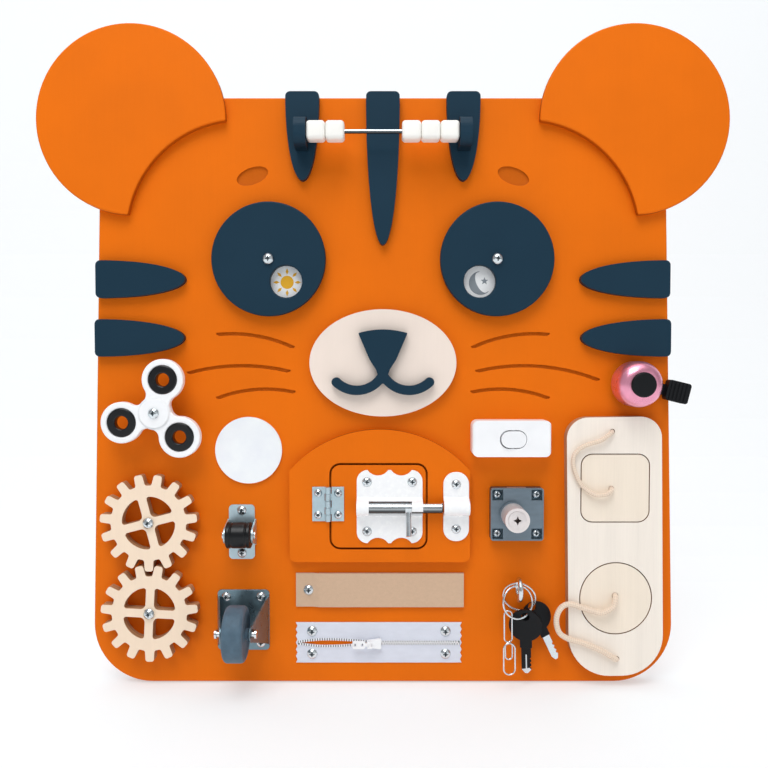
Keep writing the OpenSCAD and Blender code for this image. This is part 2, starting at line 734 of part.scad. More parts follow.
// Gears: blunt straight-sided teeth with rounded tips, and four windows with rounded corners
gear_root_r = gear_r - tooth_depth;
gear_top = gear_gap + gear_t;
gear_spacer_r = 6;
tooth_fillet_r = 1.6;
tooth_round_r = 1.8;
tooth_half = 180 / gear_teeth;
tooth_root_x = sqrt(gear_root_r * gear_root_r - tooth_root_w * tooth_root_w / 4);
tooth_side = [polar(gear_root_r, -tooth_half), [tooth_root_x, -tooth_root_w / 2], [gear_r, -tooth_tip_w / 2]];
function across(p) = [p.x, -p.y];
tooth_outline = concat(corner(tooth_side[0], tooth_side[1], tooth_side[2], tooth_fillet_r, 4),
    corner(tooth_side[1], tooth_side[2], across(tooth_side[2]), tooth_round_r, 5),
    corner(tooth_side[2], across(tooth_side[2]), across(tooth_side[1]), tooth_round_r, 5),
    corner(across(tooth_side[2]), across(tooth_side[1]), across(tooth_side[0]), tooth_fillet_r, 4));
function tooth(a) = [for (p = tooth_outline) [p.x * cos(a) - p.y * sin(a), p.x * sin(a) + p.y * cos(a)]];
window_outer_r = 1.8;
window_step = 14;
window_near = asin(spoke_w / 2 / gear_window_r) + window_step;
window_reach = sqrt(gear_window_r * gear_window_r - spoke_w * spoke_w / 4);
gear_window = let (h = spoke_w / 2, arc = [for (i = [0:8]) polar(gear_window_r, window_near + i * (45 - window_near) / 4)])
    concat(corner([h, window_reach], [h, h], [window_reach, h], window_inner_r, 6),
        corner([h, h], [window_reach, h], arc[0], window_outer_r, 5), arc,
        corner(arc[8], [h, window_reach], [h, h], window_outer_r, 5));
module gear_shape(spokes, first_tooth) difference() {
    polygon([for (i = [0:gear_teeth - 1]) each tooth(first_tooth + 360 * i / gear_teeth)]);
    for (a = [0:90:270]) rotate(spokes + a) polygon(gear_window);
}
module gear(p, spokes, first_tooth) upright() color(birch) at(p, gear_gap) difference() {
    linear_extrude(gear_t) gear_shape(spokes, first_tooth);
    translate([0, 0, -1]) cylinder(r = pivot_r + running_gap, h = gear_t + 2);
}
module gear_upper() gear(gear_upper_at, upper_spoke_angle, -90);
module gear_lower() gear(gear_lower_at, lower_spoke_angle, -90);

// Small roller: a plate with two cheeks, and a wide roller between them
roller_screw_y = 15.8;
cheek_gap = 0.4;
cheek_r = 6;
module roller_cheek(x) translate([x, 0, 0]) rotate([90, 0, 90]) linear_extrude(bracket_steel_t) {
    translate([0, roller_axle_z]) circle(r = cheek_r);
    polygon([[-roller_r, 0], [roller_r, 0], [cheek_r, roller_axle_z], [-cheek_r, roller_axle_z]]);
}
roller_cheek_x = roller_w / 2 + cheek_gap;
module roller_bracket() upright() color(zinc) at(roller_at) difference() {
    union() {
        plate(rounded(box(roller_plate_w, roller_plate_len), 3), bracket_steel_t);
        roller_cheek(roller_cheek_x);
        roller_cheek(-roller_cheek_x - bracket_steel_t);
        for (x = [-1, 1]) translate([x * (roller_cheek_x + bracket_steel_t / 2) - bracket_steel_t / 2, -roller_r, 0])
            cube([bracket_steel_t, 2 * roller_r, bracket_steel_t]);
        translate([-roller_cheek_x, -roller_r, 0]) cube([2 * roller_cheek_x, 2 * roller_r, bracket_steel_t]);
    }
    for (y = [-1, 1]) translate([0, y * roller_screw_y, -1]) cylinder(r = small_shank_r + plate_play, h = 4);
    translate([-roller_w, 0, roller_axle_z]) rotate([0, 90, 0]) cylinder(r = axle_r + pilot_play, h = 2 * roller_w);
}
module roller_wheel() upright() color(black) at(roller_at, roller_axle_z) rotate([0, 90, 0]) difference() {
    cylinder(r = roller_r, h = roller_w, center = true);
    translate([0, 0, -roller_w]) cylinder(r = axle_r + running_gap, h = 2 * roller_w);
}

// Caster: two legs lean in from the plate's edges to the axle
caster_screw = [12.8, 17.3];
leg_boss_r = 6;
caster_leg_gap = 3.4;
hub_r = axle_r + 2;
leg_top_x = caster_w / 2 + caster_leg_gap + bracket_steel_t;
leg_foot_x = caster_plate_w / 2;
leg_lean = atan((leg_foot_x - leg_top_x) / caster_axle_z);
leg_len = caster_axle_z / cos(leg_lean);
module caster_leg() translate([leg_foot_x, 0, 0]) rotate([0, -leg_lean, 0]) rotate([90, 0, 90])
    translate([0, 0, -bracket_steel_t]) linear_extrude(bracket_steel_t) {
        translate([0, leg_len]) circle(r = leg_boss_r);
        polygon([[-caster_plate_len / 2 + 4, 0], [caster_plate_len / 2 - 4, 0], [leg_boss_r, leg_len],
            [-leg_boss_r, leg_len]]);
    }
module caster_bracket() upright() color(zinc) at(caster_at) difference() {
    union() {
        plate(rounded(box(caster_plate_w, caster_plate_len), 3), bracket_steel_t);
        intersection() {
            union() {
                caster_leg();
                mirror([1, 0, 0]) caster_leg();
            }
            translate([-caster_plate_w, -caster_plate_len, 0])
                cube([2 * caster_plate_w, 2 * caster_plate_len, 2 * caster_axle_z]);
        }
    }
    for (x = [-1, 1], y = [-1, 1]) translate([x * caster_screw.x, y * caster_screw.y, -1])
        cylinder(r = small_shank_r + plate_play, h = 4);
    translate([-caster_plate_w, 0, caster_axle_z]) rotate([0, 90, 0])
        cylinder(r = axle_r + pilot_play, h = 2 * caster_plate_w);
}
module caster_wheel() upright() color("#5d6870") at(caster_at, caster_axle_z) rotate([0, 90, 0]) difference() {
    union() {
        rotate_extrude($fn = 96) polygon(rounded([[1, -caster_w / 2], [caster_r, -caster_w / 2],
            [caster_r, caster_w / 2], [1, caster_w / 2]], [0.5, 2.5, 2.5, 0.5]));
        cylinder(r = hub_r, h = caster_w + 2 * (caster_leg_gap - 2 * clear_gap - hub_r * tan(leg_lean)), center = true);
    }
    translate([0, 0, -caster_w]) cylinder(r = axle_r + running_gap, h = 2 * caster_w);
}

// Axles of both rollers with riveted ends, and the door hinge's pin
module axle(half_len, head_r, head_t) rotate([0, 90, 0]) {
    translate([0, 0, -half_len]) cylinder(r = axle_r, h = 2 * half_len);
    for (side = [-1, 1]) translate([0, 0, side * (half_len + head_t / 2) - head_t / 2])
        cylinder(r = head_r, h = head_t);
}
module axle_pins() upright() color(steel) {
    at(roller_at, roller_axle_z) axle(roller_cheek_x + bracket_steel_t + 0.1, axle_r + 1, 1.2);
    at(caster_at, caster_axle_z) axle(leg_top_x + 1.4, axle_r + 1.2, 1.5);
    translate([hinge_x, door_mid + hinge_rise - hinge_len / 2, hinge_z]) rotate([-90, 0, 0])
        cylinder(r = hinge_pin_r, h = hinge_len);
}

// Door: an arched frame, a door in its doorway, and a butt hinge whose pin stands over the gap
frame_half = frame_w / 2;
frame_sag = frame_peak_h - frame_side_h;
frame_arch_r = (frame_half * frame_half + frame_sag * frame_sag) / (2 * frame_sag);
frame_bottom = -frame_bottom_drop;
doorway_at = [-door_group_x - doorway_shift, frame_bottom + sill_h + doorway_h / 2];
door_mid = doorway_at.y;
hinge_shift = 1.6;
hinge_x = doorway_at.x - doorway_w / 2 + kerf / 2 - hinge_shift;
hinge_z = overlay_t + knuckle_r + clear_gap;
hinge_rise = 1.9;
hinge_at = [hinge_x, door_mid + hinge_rise];
hinge_screw = [7.3, 8];
hinge_head_r = 3;
hinge_seat = overlay_t + hinge_leaf_t;
bolt_seat = overlay_t + bolt_steel_t;
bolt_screw = [16.5, 18.1];
keeper_screw_y = 16.4;
bolt_plate_left = hinge_x + bolt_plate_offset;
bolt_plate_right = bolt_plate_left + bolt_plate_w;
bolt_plate_at = [bolt_plate_left + bolt_plate_w / 2, door_mid];
keeper_left = bolt_plate_right + keeper_offset;
keeper_at = [keeper_left + keeper_w / 2, door_mid];
bolt_z = overlay_t + bolt_axis_h;
window_right = bolt_plate_right - barrel_window_margin;
window_left = window_right - barrel_window_w;
handle_x = window_right - handle_r - 0.5;
bolt_tip = keeper_left - bolt_tip_gap;
bolt_tail_len = 5.5;
bolt_tail = window_left - bolt_tail_len;
bolt_chamfer = 1;

module door_frame() upright() color(orange) difference() {
    linear_extrude(overlay_t) difference() {
        intersection() {
            translate([-door_group_x, frame_bottom + frame_peak_h / 2])
                polygon(rounded(box(frame_w, frame_peak_h), [frame_corner_r, frame_corner_r, 0.5, 0.5]));
            translate([-door_group_x, frame_bottom + frame_peak_h - frame_arch_r])
                circle(r = frame_arch_r, $fn = 180);
        }
        translate(doorway_at) polygon(rounded(box(doorway_w, doorway_h), doorway_r));
    }
    for (p = frame_screws) at(p, -1) cylinder(r = small_shank_r + plate_play, h = overlay_t + 2);
}
module door() upright() color(orange) difference() {
    at(doorway_at, clear_gap) plate(rounded(box(doorway_w - 2 * kerf, doorway_h - 2 * kerf), doorway_r - kerf),
        overlay_t - clear_gap);
    for (p = door_screw_points) at(p, clear_gap + 0.5) cylinder(r = small_shank_r + pilot_play, h = overlay_t);
}

// Five knuckles: the frame's leaf has the first, third and fifth
knuckle_len = hinge_len / 5;
module knuckles(own, side, pin_play) {
    for (i = own) translate([0, -hinge_len / 2 + i * knuckle_len + 0.1, 0]) difference() {
        union() {
            translate([0, 0, hinge_z]) rotate([-90, 0, 0]) cylinder(r = knuckle_r, h = knuckle_len - 0.2);
            translate([side < 0 ? -hinge_leaf_w / 2 : 0, 0, overlay_t])
                cube([hinge_leaf_w / 2, knuckle_len - 0.2, hinge_leaf_t]);
        }
        translate([0, -1, hinge_z]) rotate([-90, 0, 0]) cylinder(r = hinge_pin_r + pin_play, h = knuckle_len + 2);
    }
}
module hinge_leaf(own, side, pin_play) upright() color(zinc) translate([hinge_at.x, hinge_at.y, 0]) {
    difference() {
        translate([side < 0 ? -hinge_leaf_w : knuckle_r + 0.5, -hinge_len / 2, overlay_t])
            cube([hinge_leaf_w - knuckle_r - 0.5, hinge_len, hinge_leaf_t]);
        for (y = [-1, 1]) translate([side * hinge_screw.x, y * hinge_screw.y, 0])
            cylinder(r = small_shank_r + plate_play, h = overlay_t + 4);
    }
    knuckles(own, side, pin_play);
}
module hinge_leaf_frame() hinge_leaf([0, 2, 4], -1, pilot_play);
module hinge_leaf_door() hinge_leaf([1, 3], 1, running_gap);

// Barrel bolt: a scalloped plate whose ridge guides the bolt, and a keeper with the same ridge
ridge_half_w = 7.6;
barrel_r = bolt_r + 1.5;
module ridge_section() {
    polygon([[-ridge_half_w, 0], [ridge_half_w, 0], [barrel_r * 0.93, bolt_axis_h + barrel_r * 0.36],
        [-barrel_r * 0.93, bolt_axis_h + barrel_r * 0.36]]);
    translate([0, bolt_axis_h]) circle(r = barrel_r);
}
module ridge(x0, w) translate([x0, door_mid, overlay_t]) rotate([90, 0, 90]) linear_extrude(w) ridge_section();
module bolt_bore(x0, w) translate([x0, door_mid, bolt_z]) rotate([0, 90, 0]) {
    cylinder(r = bolt_r + bolt_play, h = w);
    translate([0, -bolt_r - bolt_play, 0]) cube([bolt_axis_h + 1, 2 * (bolt_r + bolt_play), w]);
}
lobe_corner_r = 8;
scallop_r = 9;
slot_drop = 1.2;
module bolt_plate() upright() color(white) difference() {
    union() {
        at(bolt_plate_at, overlay_t) linear_extrude(bolt_steel_t) difference() {
            polygon(rounded(box(bolt_plate_w, bolt_plate_h), lobe_corner_r));
            for (x = [-1, 1], y = [-1, 1]) translate([x * 8.6, y * (bolt_plate_h / 2 + scallop_r - 4)])
                circle(r = scallop_r);
        }
        ridge(bolt_plate_left, bolt_plate_w);
    }
    bolt_bore(bolt_plate_left - 1, bolt_plate_w + 2);
    translate([window_left, door_mid - ridge_half_w - 1, bolt_z - slot_drop])
        cube([barrel_window_w, ridge_half_w + 1 + bolt_r + 1.2, 2 * barrel_r]);
    translate([window_right - 1, door_mid - ridge_half_w - 1, bolt_z - slot_drop])
        cube([barrel_window_margin + 2, ridge_half_w + 1 - bolt_r * 0.5, handle_r * 2 + 1.4 + slot_drop]);
    for (x = [-1, 1], y = [-1, 1]) at(bolt_plate_at + [x * bolt_screw.x, y * bolt_screw.y], overlay_t - 1)
        cylinder(r = small_shank_r + plate_play, h = 4);
}
module bolt_keeper() upright() color(white) difference() {
    union() {
        at(keeper_at, overlay_t) plate(rounded(box(keeper_w, keeper_h), keeper_w / 2 - 0.4), bolt_steel_t);
        ridge(keeper_left, keeper_w);
    }
    bolt_bore(keeper_left - 1, keeper_w + 2);
    for (y = [-1, 1]) at(keeper_at + [0, y * keeper_screw_y], overlay_t - 1)
        cylinder(r = small_shank_r + plate_play, h = 4);
}
collar_w = 2 * handle_r + 1;
neck_r = bolt_r - 1.2;
module bolt_rod() upright() color(steel) translate([0, door_mid, bolt_z]) rotate([0, 90, 0]) difference() {
    union() {
        translate([0, 0, bolt_tail]) cylinder(r = bolt_r, h = bolt_tip - bolt_tail - bolt_chamfer);
        translate([0, 0, bolt_tip - bolt_chamfer]) cylinder(r1 = bolt_r, r2 = bolt_r - bolt_chamfer * 0.8, h = bolt_chamfer);
    }
    translate([0, 0, handle_x - collar_w / 2]) difference() {
        cylinder(r = bolt_r + 1, h = collar_w);
        translate([0, 0, -1]) cylinder(r = neck_r, h = collar_w + 2);
    }
}
module bolt_handle() upright() color(steel) translate([handle_x, door_mid, bolt_z]) difference() {
    union() {
        rotate([0, 90, 0]) cylinder(r = bolt_r, h = collar_w - 0.2, center = true);
        rotate([90 - handle_angle, 0, 0]) translate([0, 0, neck_r + 0.5]) cylinder(r = handle_r,
            h = handle_len - neck_r - 0.5);
    }
    rotate([0, 90, 0]) cylinder(r = neck_r + running_gap, h = 3 * bolt_r, center = true);
}
module door_screws() upright() {
    for (p = door_hinge_screws) at(p, hinge_seat) screw(hinge_head_r, small_shank_r, hinge_seat - clear_gap - 1);
    for (p = door_bolt_screws) at(p, bolt_seat) screw(small_head_r, small_shank_r, bolt_seat - clear_gap - 1);
}

// Strap: its left end is screwed down, and the rest peels off the hook tape
strap_at = [-strap_left_x, -strap_drop];
strap_hinge_x = -strap_left_x + strap_end_len;
strap_z = hook_t + 0.2;
strap_screw_x = 9.3;
strap_screw_at = strap_at + [strap_screw_x, 0];
module hook_tape() upright() color("#b59a7c") {
    translate([strap_hinge_x + 1, -strap_drop - strap_w / 2, 0]) cube([strap_len - strap_end_len - 1, strap_w, hook_t]);
    difference() {
        translate([-strap_left_x, -strap_drop - strap_w / 2, 0]) cube([strap_end_len - 0.3, strap_w, strap_t]);
        at(strap_screw_at, -1) cylinder(r = pivot_r + plate_play, h = 4);
    }
}
module strap() upright() color("#c8ad92") translate([strap_hinge_x, -strap_drop - strap_w / 2, strap_z])
    cube([strap_len - strap_end_len, strap_w, strap_t]);

// Zip: two tapes with a bead of teeth along each edge, open behind the slider
zip_at = [-zip_left_x + zip_len / 2, -zip_drop];
slider_left = -slider_x - slider_len / 2;
slit_end = 2.5;
tooth_bead_w = 1.5;
tooth_bead_h = 0.9;
pinks = 6;
zip_screw = [zip_len / 2 - 12, 8.4];
zip_screw_r = 1.4;
slit_left = -zip_left_x + slit_end;
slit_close = slider_left + 0.4 * slider_len;
slit_peak = 0.85;
function slit_open(u) = u < slit_peak ? sin(90 * u / slit_peak) : cos(90 * (u - slit_peak) / (1 - slit_peak));
function slit_half(x) = 0.05 + (x > slit_left && x < slit_close
    ? slit_w / 2 * slit_open((x - slit_left) / (slit_close - slit_left)) : 0);
slit_xs = [for (i = [0:24]) -zip_left_x + 1 + i * (zip_len - 2) / 24];
function pinked(x, side) = [for (i = [0:pinks]) [x + (i % 2 == 0 ? 0 : side * 1.2), i / pinks * (zip_w / 2 - 0.4) + 0.3]];
function tape_half() = concat([for (x = slit_xs) [x, slit_half(x)]], pinked(zip_len - zip_left_x, -1),
    [for (p = [pinks:-1:0]) pinked(-zip_left_x, 1)[p]]);
function tooth_bead() = concat([for (x = slit_xs) [x, slit_half(x)]],
    [for (i = [24:-1:0]) [slit_xs[i], slit_half(slit_xs[i]) + tooth_bead_w]]);
module zip_tapes() upright() color(white) for (side = [0, 1]) translate([0, -zip_drop, 0]) mirror([0, side, 0])
    difference() {
        union() {
            plate(tape_half(), tape_t);
            plate(tooth_bead(), tape_t + tooth_bead_h);
        }
        for (x = [-1, 1]) translate([zip_at.x + x * zip_screw.x, zip_screw.y, -1])
            cylinder(r = zip_screw_r + plate_play, h = 4);
    }
slider_z = tape_t + tooth_bead_h + clear_gap;
slider_t = 2.4;
pull_pivot_x = slider_left + 2.4;
pull_len = 11.5;
pull_w = 5.8;
pull_hole_r = 1.2;
pull_t = 1.2;
pull_z = slider_z + slider_t + 1.3;
module zip_slider() upright() color(white) translate([0, -zip_drop, 0]) difference() {
    union() {
        translate([slider_left + slider_len / 2, 0, slider_z])
            plate(rounded([[-slider_len / 2, -slider_w * 0.3], [slider_len / 2, -slider_w / 2],
                [slider_len / 2, slider_w / 2], [-slider_len / 2, slider_w * 0.3]], 1.2), slider_t);
        for (y = [-1, 1]) translate([pull_pivot_x - 1.8, y * 1.9 - 0.6, slider_z + slider_t - eps])
            cube([3.6, 1.2, 2.6]);
    }
    translate([pull_pivot_x, -10, pull_z]) rotate([-90, 0, 0]) cylinder(r = 0.6 + pilot_play, h = 20);
}
module zip_pull() upright() color(white) translate([pull_pivot_x, -zip_drop, pull_z]) {
    rotate([-90, 0, 0]) translate([0, 0, -1.2]) cylinder(r = 1.15, h = 2.4);
    for (y = [-1, 1]) translate([0, y > 0 ? 1.2 : -2.5, 0]) rotate([-90, 0, 0])
        cylinder(r = 0.6 - running_gap, h = 1.3);
    difference() {
        union() {
            translate([-4.5, -1, -pull_t / 2]) cube([4.5, 2, pull_t]);
            translate([-2.4 - pull_len / 2, 0, -pull_t / 2]) plate(rounded(box(pull_len - 2, pull_w), 1.8), pull_t);
        }
        for (x = [-5.6, -10.6]) translate([x, 0, -2]) cylinder(r = pull_hole_r, h = 4);
    }
}

// Switch: a box with a tilting rocker on two stub pins
switch_r = 4.5;
rocker_gap = 0.7;
rocker_depth = 7;
rocker_pin_r = 1.2;
rocker_at = switch_at + [1, -0.5];
rocker_z = switch_t - 3;
module capsule(w, h, t) plate(rounded(box(w, h), h / 2 - 0.05, 12), t);
module switch_housing() upright() color(white) difference() {
    intersection() {
        at(switch_at) plate(rounded(box(switch_w, switch_h), switch_r), switch_t);
        at(switch_at, switch_t / 2) rotate([90, 0, 0]) translate([0, 0, -switch_h])
            plate(rounded(box(switch_w, switch_t), [0.3, 0.3, 2.5, 2.5]), 2 * switch_h);
    }
    at(rocker_at, switch_t - rocker_depth - 1.5)
        capsule(rocker_w + 2 * rocker_gap, rocker_h + 2 * rocker_gap, rocker_depth + 3);
    at(rocker_at, rocker_z) rotate([90, 0, 0]) cylinder(r = rocker_pin_r + running_gap, h = rocker_h + 6, center = true);
}
module switch_rocker() upright() color(white) at(rocker_at, rocker_z) rotate([0, rocker_tilt, 0]) {
    translate([0, 0, -rocker_depth / 2 + 0.2]) capsule(rocker_w, rocker_h, rocker_depth);
    rotate([90, 0, 0]) cylinder(r = rocker_pin_r, h = rocker_h + 4.5, center = true);
}

// Lock: a square body screwed on at its corners, a barrel, a plug with a keyway, and a deadbolt at the top
lock_screw = 14.4;
lock_plate_t = 5;
lock_rim = 1.1;
plug_z = lock_t + 1;
plug_front = lock_barrel_h + 0.4;
deadbolt_w = 14;
deadbolt_t = 3.6;
deadbolt_z = 2.2;
deadbolt_len = 14;
keyway_r = 3.2;
module lock_body() upright() color(zinc) difference() {
    union() {
        at(lock_at) plate(rounded(box(lock_w, lock_w), 2), lock_t);
        at(barrel_at) cylinder(r = lock_barrel_r, h = lock_barrel_h);
        at(barrel_at) cylinder(r = lock_barrel_r + 1, h = lock_t + 2);
    }
    for (x = [-1, 1], y = [-1, 1]) {
        at(lock_at, lock_plate_t) linear_extrude(lock_t) intersection() {
            translate([x, y] * (lock_w / 2)) square(2 * lock_recess, center = true);
            polygon(rounded(box(lock_w - 2 * lock_rim, lock_w - 2 * lock_rim), 1));
        }
        at(lock_at + [x, y] * lock_screw, -1) cylinder(r = small_shank_r + plate_play, h = lock_plate_t + 2);
    }
    at(barrel_at, plug_z) cylinder(r = plug_r + running_gap, h = lock_barrel_h);
    translate([lock_at.x - deadbolt_w / 2 - clear_gap, lock_at.y + lock_w / 2 - deadbolt_len - 1, deadbolt_z - clear_gap])
        cube([deadbolt_w + 2 * clear_gap, deadbolt_len + 5, deadbolt_t + 2 * clear_gap]);
}
module lock_plug() upright() color(zinc) at(barrel_at, plug_z) difference() {
    cylinder(r = plug_r, h = plug_front - plug_z);
    translate([0, 0, 6]) linear_extrude(lock_barrel_h) polygon([for (i = [0:7])
        polar(i % 2 == 0 ? keyway_r : keyway_r * 0.45, 45 * i)]);
}
module lock_deadbolt() upright() color(zinc) translate([lock_at.x - deadbolt_w / 2,
    lock_at.y + lock_w / 2 - deadbolt_len, deadbolt_z]) cube([deadbolt_w, deadbolt_len, deadbolt_t]);

// Screw eye with two key rings through it, two keys and a paper clip
hook_shank_r = 1.7;
ring_mid_r = ring_r - ring_wire_r;
ring_1_angle = -38;
ring_1_z = 6;
ring_1_tilt = 25;
ring_1_centre = [hook_x + 0.9, -hook_drop - 6.9];
ring_2_angle = -62;
ring_2_z = 11.9;
ring_2_tilt = -20;
ring_2_centre = [hook_x - 1.1, -hook_drop - 9.1];
key_1_turn = 2;
key_1_tilt = 13.5;
key_1_bow_r = 12;
key_1_bow_drop = 6.8;
key_1_t = 2.2;
key_1_blade_w = 7;
key_1_len = 43.5;
key_2_turn = 25;
key_2_tilt = -10;
key_2_bow_r = 10.8;
key_2_bow_drop = 7.6;
key_2_t = 1.9;
key_2_blade_w = 5.4;
key_2_len = 41.5;
key_hole_r = 3;
key_neck = 5;
key_point = 3;
key_cut = 0.9;
key_cut_gap = 3.2;
clip_tilt = -5;
clip_turn = 70;
clip_upper = [6.8, 23.6];
clip_lower = [9.4, 23.4];
clip_inner = [6.2, 13];
clip_wire_r = 0.55;
clip_link_r = 0.45;
function ring_point(centre, angle) = centre + polar(ring_mid_r, angle);
key_1_at = ring_point(ring_2_centre, ring_2_angle);
key_2_at = ring_point(ring_1_centre, ring_1_angle);
module torus(mid_r, wire_r) rotate_extrude($fn = 96) translate([mid_r, 0]) circle(r = wire_r, $fn = 24);
module key_ring(centre, angle, z, tilt) upright() color(steel) at(centre + polar(ring_mid_r, angle), z)
    rotate(tilt, [cos(angle), sin(angle), 0]) translate(-ring_mid_r * [cos(angle), sin(angle), 0])
    torus(ring_mid_r, ring_wire_r);
module hung(p, z, angle, tilt, turn) upright() at(p, z) rotate(tilt, [cos(angle), sin(angle), 0]) rotate(turn)
    children();
module key_hook() upright() color(steel) {
    at(hook_at, hook_z) rotate([0, 90, 0]) torus(hook_r - hook_wire_r, hook_wire_r);
    at(hook_at, -screw_depth) cylinder(r = hook_shank_r, h = screw_depth + hook_z - hook_r + 2 * hook_wire_r - 0.6);
}
module ring_1() key_ring(ring_1_centre, ring_1_angle, ring_1_z, ring_1_tilt);
module ring_2() key_ring(ring_2_centre, ring_2_angle, ring_2_z, ring_2_tilt);
function key_blade(w, top, foot) = concat([[-w / 2, top], [-w / 2, foot + key_point], [-1, foot], [1, foot],
    [w / 2, foot + key_point]], [for (i = [0:2], c = [[0, 0.2], [key_cut, 0.35], [key_cut, 0.7], [0, 0.85]])
    [w / 2 - c.x, foot + key_point + (i + c.y) * key_cut_gap]], [[w / 2, top]]);
module key(bow_r, bow_drop, bow_t, blade_w, len) {
    shoulder = -bow_drop - bow_r - key_neck;
    color(black) translate([0, 0, -bow_t / 2]) difference() {
        union() {
            translate([0, -bow_drop, 0]) cylinder(r = bow_r, h = bow_t);
            translate([-blade_w * 0.62, shoulder, 0]) cube([blade_w * 1.24, bow_r + key_neck, bow_t]);
        }
        translate([0, 0, -1]) cylinder(r = key_hole_r, h = bow_t + 2);
    }
    color(steel) translate([0, 0, -bow_t * 0.4]) plate(key_blade(blade_w, shoulder + eps, -len), bow_t * 0.8);
}
module key_1() hung(key_1_at, ring_2_z, ring_2_angle, key_1_tilt, key_1_turn)
    key(key_1_bow_r, key_1_bow_drop, key_1_t, key_1_blade_w, key_1_len);
module key_2() hung(key_2_at, ring_1_z, ring_1_angle, key_2_tilt, key_2_turn)
    key(key_2_bow_r, key_2_bow_drop, key_2_t, key_2_blade_w, key_2_len);

// A wire loop with round ends
module wire_loop(w, len, wire_r) {
    mid = w / 2 - wire_r;
    run = len - w;
    for (x = [-1, 1]) translate([x * mid, 0, 0]) rotate([90, 0, 0]) cylinder(r = wire_r, h = run, $fn = 24);
    rotate_extrude(angle = 180, $fn = 48) translate([mid, 0]) circle(r = wire_r, $fn = 24);
    translate([0, -run, 0]) rotate(180) rotate_extrude(angle = 180, $fn = 48) translate([mid, 0])
        circle(r = wire_r, $fn = 24);
}
clip_play = 0.45;
clip_split = ring_wire_r + clip_wire_r + clip_play;
clip_drop = loop_bottom(clip_upper.x, clip_upper.y);
function loop_bottom(w, len) = len - w / 2 - clip_wire_r;
module lower_loop(size) translate([0, -clip_drop - size.x / 2 + clip_wire_r, 0]) wire_loop(size.x, size.y, clip_wire_r);
module paper_clip() upright() color(steel) at(ring_2_centre + polar(ring_mid_r, ring_2_angle), ring_2_z)
    rotate(ring_2_tilt, [cos(ring_2_angle), sin(ring_2_angle), 0])
    translate(ring_mid_r * ([cos(ring_2_angle - clip_turn), sin(ring_2_angle - clip_turn), 0]
        - [cos(ring_2_angle), sin(ring_2_angle), 0]))
    rotate(clip_tilt - ring_2_tilt, [cos(ring_2_angle), sin(ring_2_angle), 0]) {
        translate([0, 0, -clip_split]) wire_loop(clip_upper.x, clip_upper.y, clip_wire_r);
        lower_loop(clip_inner);
        translate([0, 0, clip_split]) lower_loop(clip_lower);
        translate([0, -clip_drop, -clip_split]) cylinder(r = clip_link_r, h = 2 * clip_split);
    }

// Shape panel: a square and a round inset lie in their holes, each tied to the panel by a cord
inset_corner_r = 8.7;
cord_play = 0.3;
panel_outline = rounded(box(panel_w, panel_h), [panel_bottom_r, panel_bottom_r, panel_top_r, panel_top_r], 12);
module shape_panel() upright() color(birch) difference() {
    linear_extrude(panel_t) difference() {
        translate(panel_at) rotate(panel_lean) polygon(panel_outline);
        translate(square_at) polygon(rounded(box(square_size, square_size), inset_corner_r));
        translate(round_at) circle(r = round_r);
    }
    at(cord_square_route[0], 1) cylinder(r = cord_square_r + cord_play, h = panel_t);
    at(cord_round_route[len(cord_round_route) - 1], 1) cylinder(r = cord_round_r + cord_play, h = panel_t);
}
module square_inset() upright() color(birch) difference() {
    at(square_at, clear_gap) plate(rounded(box(square_size - 2 * inset_gap, square_size - 2 * inset_gap),
        inset_corner_r - inset_gap), panel_t - clear_gap);
    at(cord_square_route[len(cord_square_route) - 1], 2) cylinder(r = cord_square_r + cord_play, h = panel_t);
}
module round_inset() upright() color(birch) difference() {
    at(round_at, clear_gap) cylinder(r = round_r - inset_gap, h = panel_t - clear_gap);
    at(cord_round_route[0], 2) cylinder(r = cord_round_r + cord_play, h = panel_t);
}

// Cords: each runs from the bottom of one hole over the panel to the bottom of the other
cord_square_route = [[166.5, -27.5, 4], [166.3, -27.7, 9], [164, -29, 12], [157, -33.9, 12.5], [145, -38, 12],
    [138.2, -45.1, 11.6], [138.6, -55.3, 11.4], [144.1, -66.5, 11.6], [153.3, -73, 12.4], [161.6, -72.6, 13],
    [165.6, -70, 11.6], [166, -69, 9], [166, -69, 4]];
cord_round_route = [[169.6, -147.7, 4], [169.6, -147.7, 9], [169, -149.6, 12.4], [166.5, -155.1, 13.6],
    [158.7, -159, 13.4], [148, -156.6, 12.6], [136.3, -152.8, 12.8], [129.5, -155.1, 13.2], [125.9, -163, 13.4],
    [127.7, -172.8, 13.2], [134.6, -178.2, 12.6], [146.3, -181.7, 12.4], [159, -187.1, 13], [168.6, -193, 12.2],
    [170.6, -194.4, 9], [170.8, -194.5, 4]];
